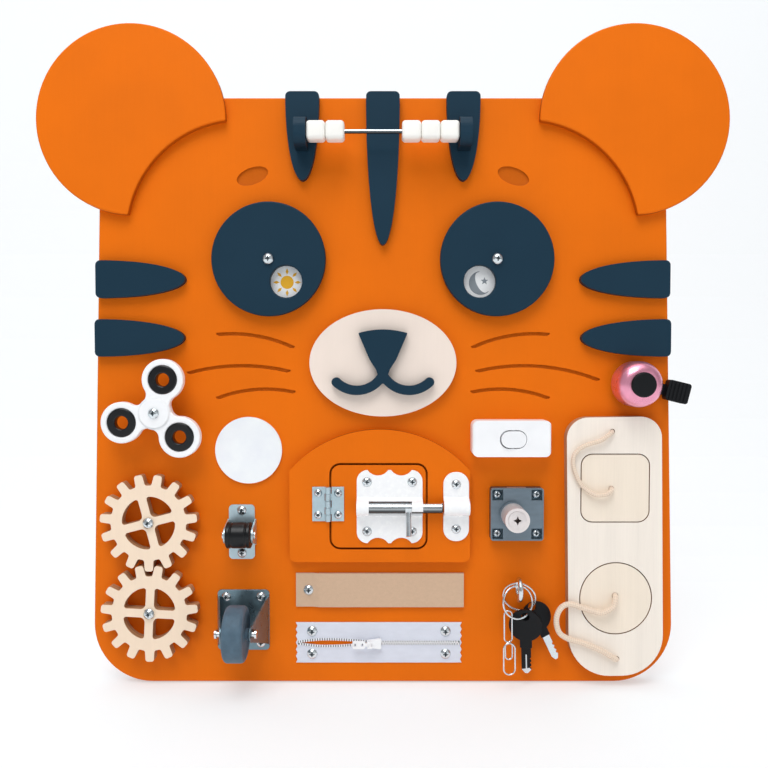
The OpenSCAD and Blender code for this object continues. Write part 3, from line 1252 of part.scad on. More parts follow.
// A Catmull-Rom curve through the route, and a tube of eight sides swept along it
function spline(p, i, t) =
    let (n = len(p) - 1, a = p[max(i - 1, 0)], b = p[i], c = p[min(i + 1, n)], d = p[min(i + 2, n)])
    0.5 * (2 * b + (c - a) * t + (2 * a - 5 * b + 4 * c - d) * t * t + (3 * b - a - 3 * c + d) * t * t * t);
function smooth(p, k) = concat([for (i = [0:len(p) - 2], j = [0:k - 1]) spline(p, i, j / k)], [p[len(p) - 1]]);
function tube_ring(path, i, r, sides) =
    let (d = unit(path[min(i + 1, len(path) - 1)] - path[max(i - 1, 0)]),
        side = unit(cross(d, abs(d.z) > 0.8 ? [1, 0.35, 0] : [0, 0, 1])), up = cross(side, d))
    [for (k = [0:sides - 1]) path[i] + r * (cos(360 * k / sides) * side + sin(360 * k / sides) * up)];
module tube(path, r, sides = 8) {
    count = len(path);
    polyhedron(points = [for (i = [0:count - 1]) each tube_ring(path, i, r, sides)],
        faces = concat([[for (k = [sides - 1:-1:0]) k]],
            [for (i = [0:count - 2], k = [0:sides - 1]) let (a = i * sides + k, b = i * sides + (k + 1) % sides)
                [a, b, b + sides, a + sides]],
            [[for (k = [0:sides - 1]) (count - 1) * sides + k]]));
}
module cord_square() upright() color(cream) tube(smooth(cord_square_route, 3), cord_square_r);
module cord_round() upright() color(cream) tube(smooth(cord_round_route, 3), cord_round_r);

// Bell: a base, a hollow dome on a post, a cap, and a lever that turns about the post under the dome
bell_base_h = 2.5;
bell_base_r = 12.5;
bell_post_r = 3;
lever_z = 3;
lever_t = 2.2;
lever_ring_r = 6;
dome_foot_z = 5.8;
dome_h = bell_h - dome_foot_z;
cap_h = 3.4;
pad_x = bell_r + 6.9;
pad_turn = 3.4;
pad_t = 8;
bell_hole_r = bell_post_r + pilot_play;
dome_side_h = 12.5;
dome_shoulder_r = 10;
function dome_arc(r, h, angles) = [for (a = angles)
    [r - dome_shoulder_r * (1 - cos(a)), dome_side_h + (h - dome_side_h) * sin(a)]];
dome_profile = concat([[bell_r, 0]], dome_arc(bell_r, dome_h, [0:9:90]),
    [[bell_hole_r, dome_h], [bell_hole_r, dome_h - bell_wall]],
    dome_arc(bell_r - bell_wall, dome_h - bell_wall, [90:-9:0]), [[bell_r - bell_wall, 0]]);
module bell_base() upright() color(black) at(bell_at) {
    cylinder(r = bell_base_r, h = bell_base_h);
    cylinder(r = lever_ring_r - 1, h = lever_z - clear_gap);
    cylinder(r = bell_post_r, h = bell_h + 1);
}
module bell_dome() upright() color("#e9a3b8") at(bell_at, dome_foot_z) rotate_extrude($fn = 96)
    polygon(dome_profile);
module bell_cap() upright() color(black) at(bell_at, bell_h) difference() {
    rotate_extrude() polygon(concat([[0, 0]], [for (a = [0:9:90]) [bell_cap_r - 1.5 + 1.5 * cos(a),
        cap_h - 1.5 + 1.5 * sin(a)]], [[0, cap_h]]));
    translate([0, 0, -1]) cylinder(r = bell_post_r + pilot_play, h = 2 + pilot_play);
}
module bell_lever() upright() color(black) at(bell_at, lever_z) rotate(-lever_angle) difference() {
    union() {
        cylinder(r = lever_ring_r, h = lever_t);
        translate([0, -4, 0]) cube([pad_x + 3, 8, lever_t]);
        translate([pad_x + lever_pad_len / 2, 0, 0]) rotate(-pad_turn) {
            plate(rounded(box(lever_pad_len, lever_pad_w), 2), pad_t);
            for (i = [-2:2]) translate([i * lever_pad_len / 6 - 0.6, 1 - lever_pad_w / 2, pad_t - eps])
                cube([1.2, lever_pad_w - 2, 0.8]);
        }
    }
    translate([0, 0, -1]) cylinder(r = bell_post_r + running_gap, h = lever_t + 2);
}

// Every screw, washer and spacer that is fast to the board
pivots = [eye_left, eye_right, spinner_at, gear_upper_at, gear_lower_at, strap_screw_at];
roller_screws = [for (y = [-1, 1]) roller_at + [0, y * roller_screw_y]];
caster_screws = [for (x = [-1, 1], y = [-1, 1]) caster_at + [x * caster_screw.x, y * caster_screw.y]];
zip_screws = [for (x = [-1, 1], y = [-1, 1]) zip_at + [x * zip_screw.x, y * zip_screw.y]];
lock_screws = [for (x = [-1, 1], y = [-1, 1]) lock_at + [x, y] * lock_screw];
keeper_screws = [for (y = [-1, 1]) keeper_at + [0, y * keeper_screw_y]];
frame_hinge_screws = [for (y = [-1, 1]) hinge_at + [-hinge_screw.x, y * hinge_screw.y]];
frame_screws = concat(keeper_screws, frame_hinge_screws);
door_hinge_screws = [for (y = [-1, 1]) hinge_at + [hinge_screw.x, y * hinge_screw.y]];
door_bolt_screws = [for (x = [-1, 1], y = [-1, 1]) bolt_plate_at + [x * bolt_screw.x, y * bolt_screw.y]];
door_screw_points = concat(door_hinge_screws, door_bolt_screws);
small_screws = concat(roller_screws, caster_screws, lock_screws, frame_screws, zip_screws);
spinner_screw_z = spinner_top + spinner_cap_t + clear_gap;
module pivot_screw(p, top, spacer_r, spacer_t) {
    at(p) washer(spacer_r, spacer_t, pivot_r + pilot_play);
    at(p, top + clear_gap) washer(washer_r, washer_t, pivot_r + pilot_play);
    at(p, top + clear_gap + washer_t) screw(large_head_r, pivot_r, top + clear_gap + washer_t + screw_depth);
}
module small_screw(p, seat, head_r = small_head_r) at(p, seat) screw(head_r, small_shank_r, seat + screw_depth);
module fasteners() upright() {
    for (p = [eye_left, eye_right]) pivot_screw(p, eye_top, eye_spacer_r, eye_spacer_t);
    for (p = [gear_upper_at, gear_lower_at]) pivot_screw(p, gear_top, gear_spacer_r, gear_gap - clear_gap);
    at(spinner_at) washer(spinner_post_r + 2, spinner_gap - clear_gap, pivot_r + pilot_play);
    at(spinner_at, spinner_gap - clear_gap) washer(spinner_post_r, spinner_t, pivot_r + pilot_play);
    at(spinner_at, spinner_screw_z) screw(large_head_r, pivot_r, spinner_screw_z + screw_depth);
    at(strap_screw_at, strap_t) screw(large_head_r, pivot_r, strap_t + screw_depth);
    for (p = roller_screws) small_screw(p, bracket_steel_t);
    for (p = caster_screws) small_screw(p, bracket_steel_t);
    for (p = lock_screws) small_screw(p, lock_plate_t);
    for (p = keeper_screws) small_screw(p, bolt_seat);
    for (p = frame_hinge_screws) small_screw(p, hinge_seat, hinge_head_r);
    for (p = zip_screws) small_screw(p, tape_t, large_head_r);
}

board();
ears();
stripes();
muzzle();
nose_and_smile();
abacus_brackets();
abacus_rod();
bead_1();
bead_2();
bead_3();
bead_4();
bead_5();
picture_cards();
eye_disc_left();
eye_disc_right();
spinner_body();
spinner_weights();
mirror_disc();
gear_upper();
gear_lower();
roller_bracket();
roller_wheel();
caster_bracket();
caster_wheel();
axle_pins();
door_frame();
door();
hinge_leaf_frame();
hinge_leaf_door();
door_screws();
bolt_plate();
bolt_rod();
bolt_handle();
bolt_keeper();
hook_tape();
strap();
zip_tapes();
zip_slider();
zip_pull();
switch_housing();
switch_rocker();
lock_body();
lock_plug();
lock_deadbolt();
key_hook();
ring_1();
ring_2();
key_1();
key_2();
paper_clip();
shape_panel();
square_inset();
round_inset();
cord_square();
cord_round();
bell_base();
bell_dome();
bell_cap();
bell_lever();
fasteners();
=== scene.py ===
import json
import math

import bmesh
import bpy
import numpy as np
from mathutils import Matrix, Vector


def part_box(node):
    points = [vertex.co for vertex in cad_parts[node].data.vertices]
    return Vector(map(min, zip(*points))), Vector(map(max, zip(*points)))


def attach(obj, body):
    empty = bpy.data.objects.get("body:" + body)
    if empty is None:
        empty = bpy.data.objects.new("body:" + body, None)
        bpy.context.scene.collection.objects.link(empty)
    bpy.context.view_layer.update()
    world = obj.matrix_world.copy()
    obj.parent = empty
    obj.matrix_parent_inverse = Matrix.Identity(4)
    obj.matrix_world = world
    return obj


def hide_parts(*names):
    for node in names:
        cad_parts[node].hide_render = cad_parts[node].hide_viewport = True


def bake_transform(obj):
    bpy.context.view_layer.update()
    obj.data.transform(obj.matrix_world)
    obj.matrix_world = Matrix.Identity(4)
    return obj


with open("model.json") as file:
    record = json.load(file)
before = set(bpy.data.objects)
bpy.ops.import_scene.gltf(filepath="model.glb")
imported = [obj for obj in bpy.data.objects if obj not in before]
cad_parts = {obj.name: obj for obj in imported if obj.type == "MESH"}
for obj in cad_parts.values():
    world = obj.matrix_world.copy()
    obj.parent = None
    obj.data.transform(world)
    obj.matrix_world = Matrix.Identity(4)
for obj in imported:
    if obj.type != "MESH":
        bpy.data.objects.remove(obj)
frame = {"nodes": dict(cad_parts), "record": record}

bl_info = {
    "name": "Busy board",
    "version": (1, 0, 0),
    "blender": (4, 5, 0),
    "location": "View3D > Sidebar > Busy board",
    "description": "Dresses the activity board: painted plywood, hardware, cloth, cords and the stage",
    "category": "Object",
}

# The drawing that the part was made from: x right, y up, z out of the painted face, in millimetres
BOARD_T = 12.0
HANG_Y = 150.0
GROOVE_DEPTH = 1.5
EYE_X, EYE_Y = 82.8, 97.4
STRAP_Y, STRAP_HALF = -145.7, 12.65
ROLLER_CENTRE = (-104.2, -102.5, 12)
CASTER_CENTRE = (-103.3, -168.2, 31)

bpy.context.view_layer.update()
ROOT = "board_assembly"
BODY_OF = {node: body for body, nodes in frame["record"]["behaviour"]["bodies"].items() for node in nodes}
SLOT_OF = {row["node"]: row["material_slot"] for row in frame["record"]["subparts"]}
BEVEL_STEPS = 3
OFF_AXIS = (0.31, 0.77, 0.2)  # a direction that no cord follows


def stand(points):
    """Drawing millimetres to frame metres: (x, -(z + board thickness), y - hanging height) / 1000."""
    p = np.asarray(points, float)
    return np.stack([p[..., 0], -(p[..., 2] + BOARD_T), p[..., 1] - HANG_Y], axis=-1) / 1000.0


def linear(hex_colour):
    """sRGB hex to linear RGBA: c / 12.92 below 0.04045, else ((c + 0.055) / 1.055) ^ 2.4."""
    c = np.array([int(hex_colour[i:i + 2], 16) for i in (1, 3, 5)]) / 255.0
    c = np.where(c <= 0.04045, c / 12.92, ((c + 0.055) / 1.055) ** 2.4)
    return (*c.tolist(), 1.0)


def colour_prop(name, description, hex_colour):
    return bpy.props.FloatVectorProperty(name=name, description=description, subtype="COLOR", size=4,
                                         min=0.0, max=1.0, default=linear(hex_colour))


def size_prop(name, description, millimetres):
    return bpy.props.FloatProperty(name=name, description=description, subtype="DISTANCE", unit="LENGTH",
                                   min=0.0, default=millimetres / 1000.0)


class BoardColours(bpy.types.PropertyGroup):
    """Colours of the paints, woods, metals and cloths."""
    orange: colour_prop("Orange paint", "Acrylic paint of the face, the ears and the door", "#ea7004")
    navy: colour_prop("Navy paint", "Acrylic paint of the stripes, the eyes and the nose", "#1a3546")
    cream: colour_prop("Cream paint", "Acrylic paint of the muzzle", "#f3e3d7")
    birch: colour_prop("Birch", "Oiled birch plywood of the shape panel", "#faf0e4")
    inset_birch: colour_prop("Inset birch", "Warmer birch of the insets", "#f8ead8")
    gear_birch: colour_prop("Gear birch", "Oiled birch plywood of the gears", "#fae3ca")
    burnt_birch: colour_prop("Cut birch edge", "Birch plywood where the cutter browned it", "#a2744c")
    bead: colour_prop("Beads", "Lacquered beads on the rod", "#fdfbf5")
    card: colour_prop("Card", "Paper of the picture cards", "#fbfcfd")
    zinc: colour_prop("Zinc plate", "Bright zinc on pressed steel", "#bcd0d8")
    # Painted reflection: the caster's bracket gets a darker, bluer copy of the zinc colour for the dark surroundings it
    # reflects
    pressed: colour_prop("Caster steel", "Bluer zinc on the caster's pressed bracket", "#78909b")
    nickel: colour_prop("Nickel plate", "Nickel on pins, rings and screws", "#dde4e8")
    enamel: colour_prop("Bolt enamel", "White baked enamel of the barrel bolt", "#fcfdff")
    abs_white: colour_prop("White ABS", "Moulded plastic of the spinner and the switch", "#fafbfd")
    abs_black: colour_prop("Black ABS", "Moulded plastic of the key bows and the bell's cap", "#121417")
    roller: colour_prop("Roller nylon", "Black nylon of the small roller", "#0c0e11")
    wheel: colour_prop("Wheel rubber", "Grey-blue rubber of the caster's wheel", "#536979")
    # Painted reflection: the mirror's near-white colour stands for the pale room that it reflects
    mirror: colour_prop("Mirror", "Silvered acrylic", "#f7faff")
    strap: colour_prop("Strap", "Looped nylon tape", "#d2b193")
    hooks: colour_prop("Hook tape", "Nylon tape with hooks", "#c09a76")
    zip_tape: colour_prop("Zip tape", "Woven polyester tape", "#e6eaf6")
    zip_teeth: colour_prop("Zip teeth", "Acetal teeth of the zip", "#f6f6f7")
    zip_core: colour_prop("Zip core", "Shaded tape between the zip's teeth", "#6d737c")
    casting: colour_prop("Lock casting", "Zinc casting of the lock", "#707f8a")
    # Painted shade: a dark colour laid on the floor of the lock's corner pockets
    casting_pocket_shade: colour_prop("Lock pockets", "Darkened floor of the lock's corner pockets", "#2f464f")
    barrel: colour_prop("Lock barrel", "Brushed nickel of the lock's barrel and plug", "#ece4e2")
    # Painted shade: the dark colour given to the faces inside the screws' cross recesses
    recess: colour_prop("Screw recess", "Dark cross of the screws", "#4d585e")
    cord: colour_prop("Cord", "Braided cotton cord", "#f2dcc6")
    bell: colour_prop("Bell", "Pink anodised aluminium", "#f4a3bd")
    yellow: colour_prop("Yellow print", "Printed sun and stars", "#f0b52c")
    grey: colour_prop("Grey print", "Printed moons", "#8f979e")
    green: colour_prop("Green print", "Printed leaves", "#6f9b57")
    floor: colour_prop("Backdrop", "Seamless pale paper, lit from behind to near white", "#babfc2")


class BoardSizes(bpy.types.PropertyGroup):
    """Small sizes that the solids leave out."""
    board_edge: size_prop("Board edge", "Radius of the board's sanded edges", 1.2)
    overlay_edge: size_prop("Overlay edge", "Radius of the overlays' sanded edges", 0.9)
    wood_edge: size_prop("Birch edge", "Radius of the birch parts' edges", 0.5)
    sheet_edge: size_prop("Sheet steel edge", "Radius of the pressed steel's edges", 0.25)
    moulded_edge: size_prop("Moulded edge", "Radius of the moulded plastic's edges", 0.9)
    tooth_pitch: size_prop("Zip pitch", "Distance from tooth to tooth along the zip", 1.8)
    braid: size_prop("Braid length", "Length of one plait of the cords", 3.2)
    camera_distance: size_prop("Camera distance", "From the camera to the painted face", 570.0)


def add_node(tree, kind, inputs=None, **settings):
    """Adds a node, applies its settings, and links or fills its inputs."""
    made = tree.nodes.new(kind)
    for key, value in settings.items():
        setattr(made, key, value)
    for key, value in (inputs or {}).items():
        socket = made.inputs[key]
        if isinstance(value, bpy.types.NodeSocket):
            tree.links.new(value, socket)
        else:
            socket.default_value = value
    return made


def new_finish(name, sockets):
    """A material with a Principled shader whose sockets are set by name; only the material where it exists already."""
    found = bpy.data.materials.get(name)
    if found:
        return found, None, None, None
    material = bpy.data.materials.new(name)
    material.use_nodes = True
    tree = material.node_tree
    tree.nodes.clear()
    shader = add_node(tree, "ShaderNodeBsdfPrincipled", sockets)
    add_node(tree, "ShaderNodeOutputMaterial", {"Surface": shader.outputs["BSDF"]})
    coords = add_node(tree, "ShaderNodeTexCoord")
    return material, tree, shader, coords


def coordinate(tree, vector, axis):
    """One coordinate of a vector."""
    return add_node(tree, "ShaderNodeSeparateXYZ", {"Vector": vector}).outputs[axis]


def reckon(tree, operation, *values):
    """One step of arithmetic."""
    return add_node(tree, "ShaderNodeMath", dict(enumerate(values)), operation=operation).outputs["Value"]


def noise_at(tree, coords, stretch, detail=3.0, rough=0.5):
    """Noise whose scale along each axis is given per metre."""
    placed = add_node(tree, "ShaderNodeMapping", {"Vector": coords, "Scale": stretch})
    return add_node(tree, "ShaderNodeTexNoise", {"Vector": placed.outputs["Vector"], "Scale": 1.0, "Detail": detail,
                                                 "Roughness": rough}).outputs["Fac"]


def bands(tree, coords, axis, scale, distortion, detail):
    """Waves along one axis."""
    return add_node(tree, "ShaderNodeTexWave", {"Vector": coords, "Scale": scale, "Distortion": distortion,
                                                "Detail": detail}, bands_direction=axis).outputs["Fac"]


def ramp(tree, value, low, high, to_low=0.0, to_high=1.0):
    """Straight line from (low, to_low) to (high, to_high), held at both ends."""
    return add_node(tree, "ShaderNodeMapRange", {"Value": value, "From Min": low, "From Max": high,
                                                 "To Min": to_low, "To Max": to_high}).outputs["Result"]


def blend_colours(tree, share, a, b):
    """Colour a where share is 0 and b where it is 1."""
    mixed = add_node(tree, "ShaderNodeMix", data_type="RGBA")
    for socket, value in (("Factor_Float", share), ("A_Color", a), ("B_Color", b)):
        found = next(s for s in mixed.inputs if s.identifier == socket)
        if isinstance(value, bpy.types.NodeSocket):
            tree.links.new(value, found)
        else:
            found.default_value = value
    return next(s for s in mixed.outputs if s.identifier == "Result_Color")


def dent(tree, shader, height, strength, distance, before=None):
    """Bump of a height, distance metres deep at full height."""
    inputs = {"Height": height, "Strength": strength, "Distance": distance}
    if before is not None:
        inputs["Normal"] = before
    made = add_node(tree, "ShaderNodeBump", inputs)
    tree.links.new(made.outputs["Normal"], shader.inputs["Normal"])
    return made.outputs["Normal"]


def shade(colour, factor):
    return (*[min(1.0, c * factor) for c in colour[:3]], 1.0)


def drift(tree, value, colour, dark, light, low=0.3, high=0.7):
    """The colour times dark where the value is low, and times light where it is high."""
    return blend_colours(tree, ramp(tree, value, low, high), shade(colour, dark), shade(colour, light))


def mottled(name, colour, sockets, cloud, tones, gloss, bumps=()):
    """A finish whose colour and roughness drift with one cloudy noise. Each bump is a strength and a depth in metres,
    and a noise of its own where it doesn't use the cloud. A noise is its scales per metre, detail and roughness."""
    material, tree, shader, coords = new_finish(name, sockets)
    if tree is None:
        return material
    obj = coords.outputs["Object"]
    haze = noise_at(tree, obj, *cloud)
    tree.links.new(drift(tree, haze, colour, *tones), shader.inputs["Base Color"])
    tree.links.new(ramp(tree, haze, *gloss), shader.inputs["Roughness"])
    before = None
    for strength, depth, *noise in bumps:
        before = dent(tree, shader, noise_at(tree, obj, *noise) if noise else haze, strength, depth, before)
    return material


def acrylic_paint(name, colour, roughness=0.6, grooves=None):
    """Matt acrylic rolled on sanded plywood: even colour, a fine roller stipple of about 0.7 mm and faint grain below.
    Painted shade: the side walls and the grooves are blended towards a darker brown."""
    material, tree, shader, coords = new_finish(name, {"IOR": 1.46, "Specular IOR Level": 0.15})
    if tree is None:
        return material
    obj = coords.outputs["Object"]
    broad = noise_at(tree, obj, (22, 22, 22), 2.0)
    grain = noise_at(tree, obj, (700, 700, 28), 4.0, 0.6)
    stipple = noise_at(tree, obj, (1400, 1400, 1400), 2.0)
    painted_shade = shade(colour, 0.36)
    tint = drift(tree, broad, colour, 0.97, 1.03)
    tint = blend_colours(tree, ramp(tree, grain, 0.35, 0.75, 0.0, 0.05), tint, shade(colour, 0.72))
    facing = reckon(tree, "ABSOLUTE", coordinate(tree, coords.outputs["Normal"], "Y"))
    # Painted shade: faces whose normals lie across the face, the plywood's side walls, are blended towards the dark
    # brown
    tint = blend_colours(tree, ramp(tree, facing, 0.15, 0.75, 0.65, 0.0), tint, painted_shade)
    # Painted shade: the floors and walls of the engraved grooves are blended towards the same dark brown
    if grooves is not None:
        depth = coordinate(tree, obj, "Y")
        face, floor = grooves
        cut = reckon(tree, "MULTIPLY", ramp(tree, depth, face + 0.0002, face + 0.0007, 0.0, 0.45),
                     ramp(tree, depth, floor + 0.0002, floor + 0.0006, 1.0, 0.0))
        tint = blend_colours(tree, cut, tint, painted_shade)
    tree.links.new(tint, shader.inputs["Base Color"])
    tree.links.new(ramp(tree, broad, 0.2, 0.8, roughness - 0.05, roughness + 0.06), shader.inputs["Roughness"])
    first = dent(tree, shader, grain, 0.12, 0.00006)
    dent(tree, shader, stipple, 0.16, 0.00004, first)
    return material


def birch_ply(name, colour, edge_colour, grain):
    """Oiled birch plywood, cut by laser: pale with fine streaks a few tenths wide, brown where it was cut."""
    material, tree, shader, coords = new_finish(name, {"IOR": 1.5, "Specular IOR Level": 0.3})
    if tree is None:
        return material
    obj = coords.outputs["Object"]
    streaks = noise_at(tree, obj, (900, 900, 26), 5.0, 0.62)
    figure = noise_at(tree, obj, (110, 110, 7), 3.0, 0.5)
    tint = drift(tree, figure, colour, 1.0 + 0.03 * grain, 1.0 - 0.05 * grain, 0.3, 0.72)
    tint = blend_colours(tree, ramp(tree, streaks, 0.42, 0.74, 0.0, 0.16 * grain), tint, shade(colour, 0.66))
    facing = reckon(tree, "ABSOLUTE", coordinate(tree, coords.outputs["Normal"], "Y"))
    plies = bands(tree, obj, "Y", 105.0, 0.6, 1.0)
    cut = drift(tree, plies, edge_colour, 1.0, 1.35, 0.35, 0.65)
    tint = blend_colours(tree, ramp(tree, facing, 0.25, 0.8, 0.9, 0.0), tint, cut)
    tree.links.new(tint, shader.inputs["Base Color"])
    tree.links.new(ramp(tree, streaks, 0.3, 0.8, 0.5, 0.65), shader.inputs["Roughness"])
    dent(tree, shader, streaks, 0.12, 0.00008)
    return material


def moulded_plastic(name, colour, roughness, specular=0.5):
    """Injection-moulded plastic: even colour, a soft sheen, the mould's fine spark texture."""
    return mottled(name, colour, {"IOR": 1.52, "Specular IOR Level": specular}, ((60, 60, 60), 2.0), (0.965, 1.02),
                   (0.2, 0.8, roughness - 0.04, roughness + 0.06), [(0.05, 0.00002, (1600, 1600, 1600), 2.0)])


def plated_metal(name, colour, roughness, streak=(90, 90, 1500), depth=0.00003, metallic=1.0):
    """Plated steel: a mirror-like metal with fine rolling marks and a cloudy plating."""
    return mottled(name, colour, {"Metallic": metallic}, ((160, 160, 160), 3.0), (0.88, 1.06),
                   (0.25, 0.75, roughness - 0.06, roughness + 0.09), [(0.3, depth, streak, 3.0, 0.6)])


def baked_enamel(name, colour):
    """White baked enamel on steel: glossy, slightly wavy where it ran, with a few dust nibs."""
    return mottled(name, colour, {"IOR": 1.5, "Specular IOR Level": 0.22}, ((260, 260, 260), 2.0), (0.97, 1.02),
                   (0.2, 0.8, 0.2, 0.32), [(0.25, 0.0002), (0.08, 0.00004, (1900, 1900, 1900), 1.0)])


def wheel_rubber(name, colour):
    """Thermoplastic rubber: dull, slightly dusty, with a soft broad highlight."""
    return mottled(name, colour, {"IOR": 1.5, "Specular IOR Level": 0.2}, ((180, 180, 180), 4.0, 0.6),
                   (0.9, 1.15, 0.35, 0.7), (0.3, 0.7, 0.42, 0.58), [(0.2, 0.00004, (2200, 2200, 2200), 2.0)])


def silvered_acrylic(name, colour):
    """Silvered acrylic with a painted reflection: a near-white colour, only a little metallic, stands for the pale room
    that it mirrors.
    """
    return mottled(name, colour, {"Metallic": 0.15, "IOR": 1.49, "Specular IOR Level": 0.3}, ((70, 70, 70), 3.0),
                   (0.96, 1.03), (0.2, 0.8, 0.16, 0.28))


def printed_paper(name, colour):
    """Uncoated card with flat ink: matt, with the paper's short fibres."""
    return mottled(name, colour, {"IOR": 1.45}, ((1500, 1500, 600), 4.0, 0.6), (0.98, 1.02), (0.3, 0.7, 0.7, 0.85),
                   [(0.15, 0.00005)])


def anodised(name, colour):
    """Anodised aluminium, turned and polished: a coloured mirror with faint turning marks."""
    return mottled(name, colour, {"Metallic": 0.85, "Coat Weight": 0.25, "Coat Roughness": 0.15},
                   ((120, 120, 120), 2.0), (0.92, 1.05), (0.3, 0.7, 0.26, 0.34),
                   [(0.12, 0.00003, (200, 2600, 200), 2.0)])


def fibrous(name, sheen, sheen_roughness, roughness):
    """The start of a cloth's or cord's finish: dull, with the sheen of its fibres."""
    return new_finish(name, {"IOR": 1.5, "Sheen Weight": sheen, "Sheen Roughness": sheen_roughness,
                             "Roughness": roughness})


def looped_nylon(name, colour):
    """Hook-and-loop tape, loop side out: a dull velour of curled fibres about 0.5 mm wide, drawn 0.9 mm wide."""
    material, tree, shader, coords = fibrous(name, 0.35, 0.6, 0.9)
    if tree is None:
        return material
    obj = coords.outputs["Object"]
    curls = noise_at(tree, obj, (1100, 1100, 1100), 3.0, 0.65)
    nap = noise_at(tree, obj, (260, 260, 420), 3.0, 0.6)
    rows = bands(tree, obj, "X", 260.0, 1.4, 2.0)
    tint = drift(tree, nap, colour, 0.97, 1.03)
    tint = blend_colours(tree, ramp(tree, curls, 0.4, 0.7, 0.0, 0.14), tint, shade(colour, 0.66))
    tree.links.new(tint, shader.inputs["Base Color"])
    first = dent(tree, shader, curls, 0.35, 0.0002)
    dent(tree, shader, rows, 0.15, 0.0001, first)
    return material


def woven_tape(name, colour):
    """Polyester zip tape: a herringbone of threads 0.4 mm apart, drawn 0.7 mm apart so that it shows."""
    material, tree, shader, coords = fibrous(name, 0.25, 0.5, 0.8)
    if tree is None:
        return material
    obj = coords.outputs["Object"]
    threads = reckon(tree, "MULTIPLY", *(bands(tree, obj, axis, 420.0, 0.5, 1.0) for axis in "XZ"))
    tint = drift(tree, noise_at(tree, obj, (90, 90, 200), 3.0), colour, 0.95, 1.02)
    tint = blend_colours(tree, ramp(tree, threads, 0.0, 0.5, 0.30, 0.0), tint, shade(colour, 0.72))
    tree.links.new(tint, shader.inputs["Base Color"])
    dent(tree, shader, threads, 0.5, 0.0002)
    return material


def braided_cotton(name, colour):
    """Cotton cord, plaited: sin(2 pi (u + v)) * sin(2 pi (u - v)) on its own UV map, where u counts plaits along the
    cord and v quarter turns round it, makes the strands' diamonds."""
    material, tree, shader, coords = fibrous(name, 0.3, 0.5, 0.85)
    if tree is None:
        return material
    uv = add_node(tree, "ShaderNodeUVMap", uv_map="plait").outputs["UV"]
    u, v = coordinate(tree, uv, "X"), coordinate(tree, uv, "Y")
    waves = [reckon(tree, "SINE", reckon(tree, "MULTIPLY", reckon(tree, way, u, v), 2 * math.pi))
             for way in ("ADD", "SUBTRACT")]
    plait = reckon(tree, "MULTIPLY", *waves)
    fuzz = noise_at(tree, coords.outputs["Object"], (1800, 1800, 1800), 2.0)
    tint = drift(tree, plait, colour, 0.86, 1.03, -0.9, 0.5)
    tint = blend_colours(tree, ramp(tree, fuzz, 0.35, 0.75, 0.0, 0.1), tint, shade(colour, 0.75))
    tree.links.new(tint, shader.inputs["Base Color"])
    first = dent(tree, shader, plait, 0.45, 0.0003)
    dent(tree, shader, fuzz, 0.2, 0.0001, first)
    return material


def plain_backdrop(name, colour, glow):
    """Seamless paper: matt, and lit a little from behind."""
    return new_finish(name, {"Roughness": 0.9, "Base Color": tuple(colour), "Emission Strength": glow,
                             "Emission Color": linear("#ffffff")})[0]


def closed_mesh(obj, smooth):
    """Merges doubles, drops faces without area, turns faces outwards, keeps edges sharp beyond an angle in degrees."""
    data = obj.data
    work = bmesh.new()
    work.from_mesh(data)
    bmesh.ops.remove_doubles(work, verts=work.verts, dist=1e-7)
    bmesh.ops.dissolve_degenerate(work, edges=work.edges, dist=1e-8)
    bmesh.ops.recalc_face_normals(work, faces=work.faces)
    work.to_mesh(data)
    work.free()
    data.polygons.foreach_set("use_smooth", np.ones(len(data.polygons), bool))
    data.set_sharp_from_angle(angle=math.radians(smooth))
    data.update()


def add_piece(name, points, faces, look, slot, body=ROOT, replaced=(), smooth=35.0):
    """Makes an object from drawing points and faces, and puts it on its body."""
    mesh = bpy.data.meshes.new(name)
    mesh.from_pydata(stand(points).reshape(-1, 3).tolist(), [], faces.tolist() if hasattr(faces, "tolist") else faces)
    obj = bpy.data.objects.new(name, mesh)
    bpy.context.scene.collection.objects.link(obj)
    mesh.materials.append(look)
    closed_mesh(obj, smooth)
    if body:
        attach(obj, body)
    if replaced:
        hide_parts(*replaced)
    return obj


def grid_faces(rows, cols, closed_rows=False, closed_cols=False):
    """Quads (i, j), (i, j + 1), (i + 1, j + 1), (i + 1, j) of a grid, joined round where it is closed."""
    i, j = np.meshgrid(np.arange(rows if closed_rows else rows - 1), np.arange(cols if closed_cols else cols - 1),
                       indexing="ij")

    def at(a, b):
        return (a % rows) * cols + b % cols
    return np.stack([at(i, j), at(i, j + 1), at(i + 1, j + 1), at(i + 1, j)], axis=-1).reshape(-1, 4)


def lathe(profile, centre, turns=96):
    """A profile of (radius, x) turned about x: centre + (x, radius cos t, radius sin t)."""
    radius, x = np.asarray(profile, float).T
    t = np.linspace(0, 2 * np.pi, turns, endpoint=False)
    points = np.stack([np.outer(x, np.ones(turns)), np.outer(radius, np.cos(t)), np.outer(radius, np.sin(t))], -1)
    return points + np.asarray(centre, float), grid_faces(len(x), turns, closed_cols=True)


def tube(path, radius, sides=20):
    """A circle of the radius carried along a path: p(s) + r (cos a * side + sin a * up), with axes that don't twist."""
    p = np.asarray(path, float)
    d = np.gradient(p, axis=0)
    d /= np.linalg.norm(d, axis=1)[:, None]
    side = np.zeros_like(p)
    start = np.cross(d[0], OFF_AXIS)
    side[0] = start / np.linalg.norm(start)
    for k in range(1, len(p)):
        v = side[k - 1] - d[k] * (side[k - 1] @ d[k])
        side[k] = v / np.linalg.norm(v)
    up = np.cross(d, side)
    a = np.linspace(0, 2 * np.pi, sides, endpoint=False)
    points = p[:, None] + radius * (np.cos(a)[None, :, None] * side[:, None] + np.sin(a)[None, :, None] * up[:, None])
    faces = grid_faces(len(p), sides, closed_cols=True).tolist()
    faces += [list(range(sides))[::-1], [(len(p) - 1) * sides + k for k in range(sides)]]
    return points, faces


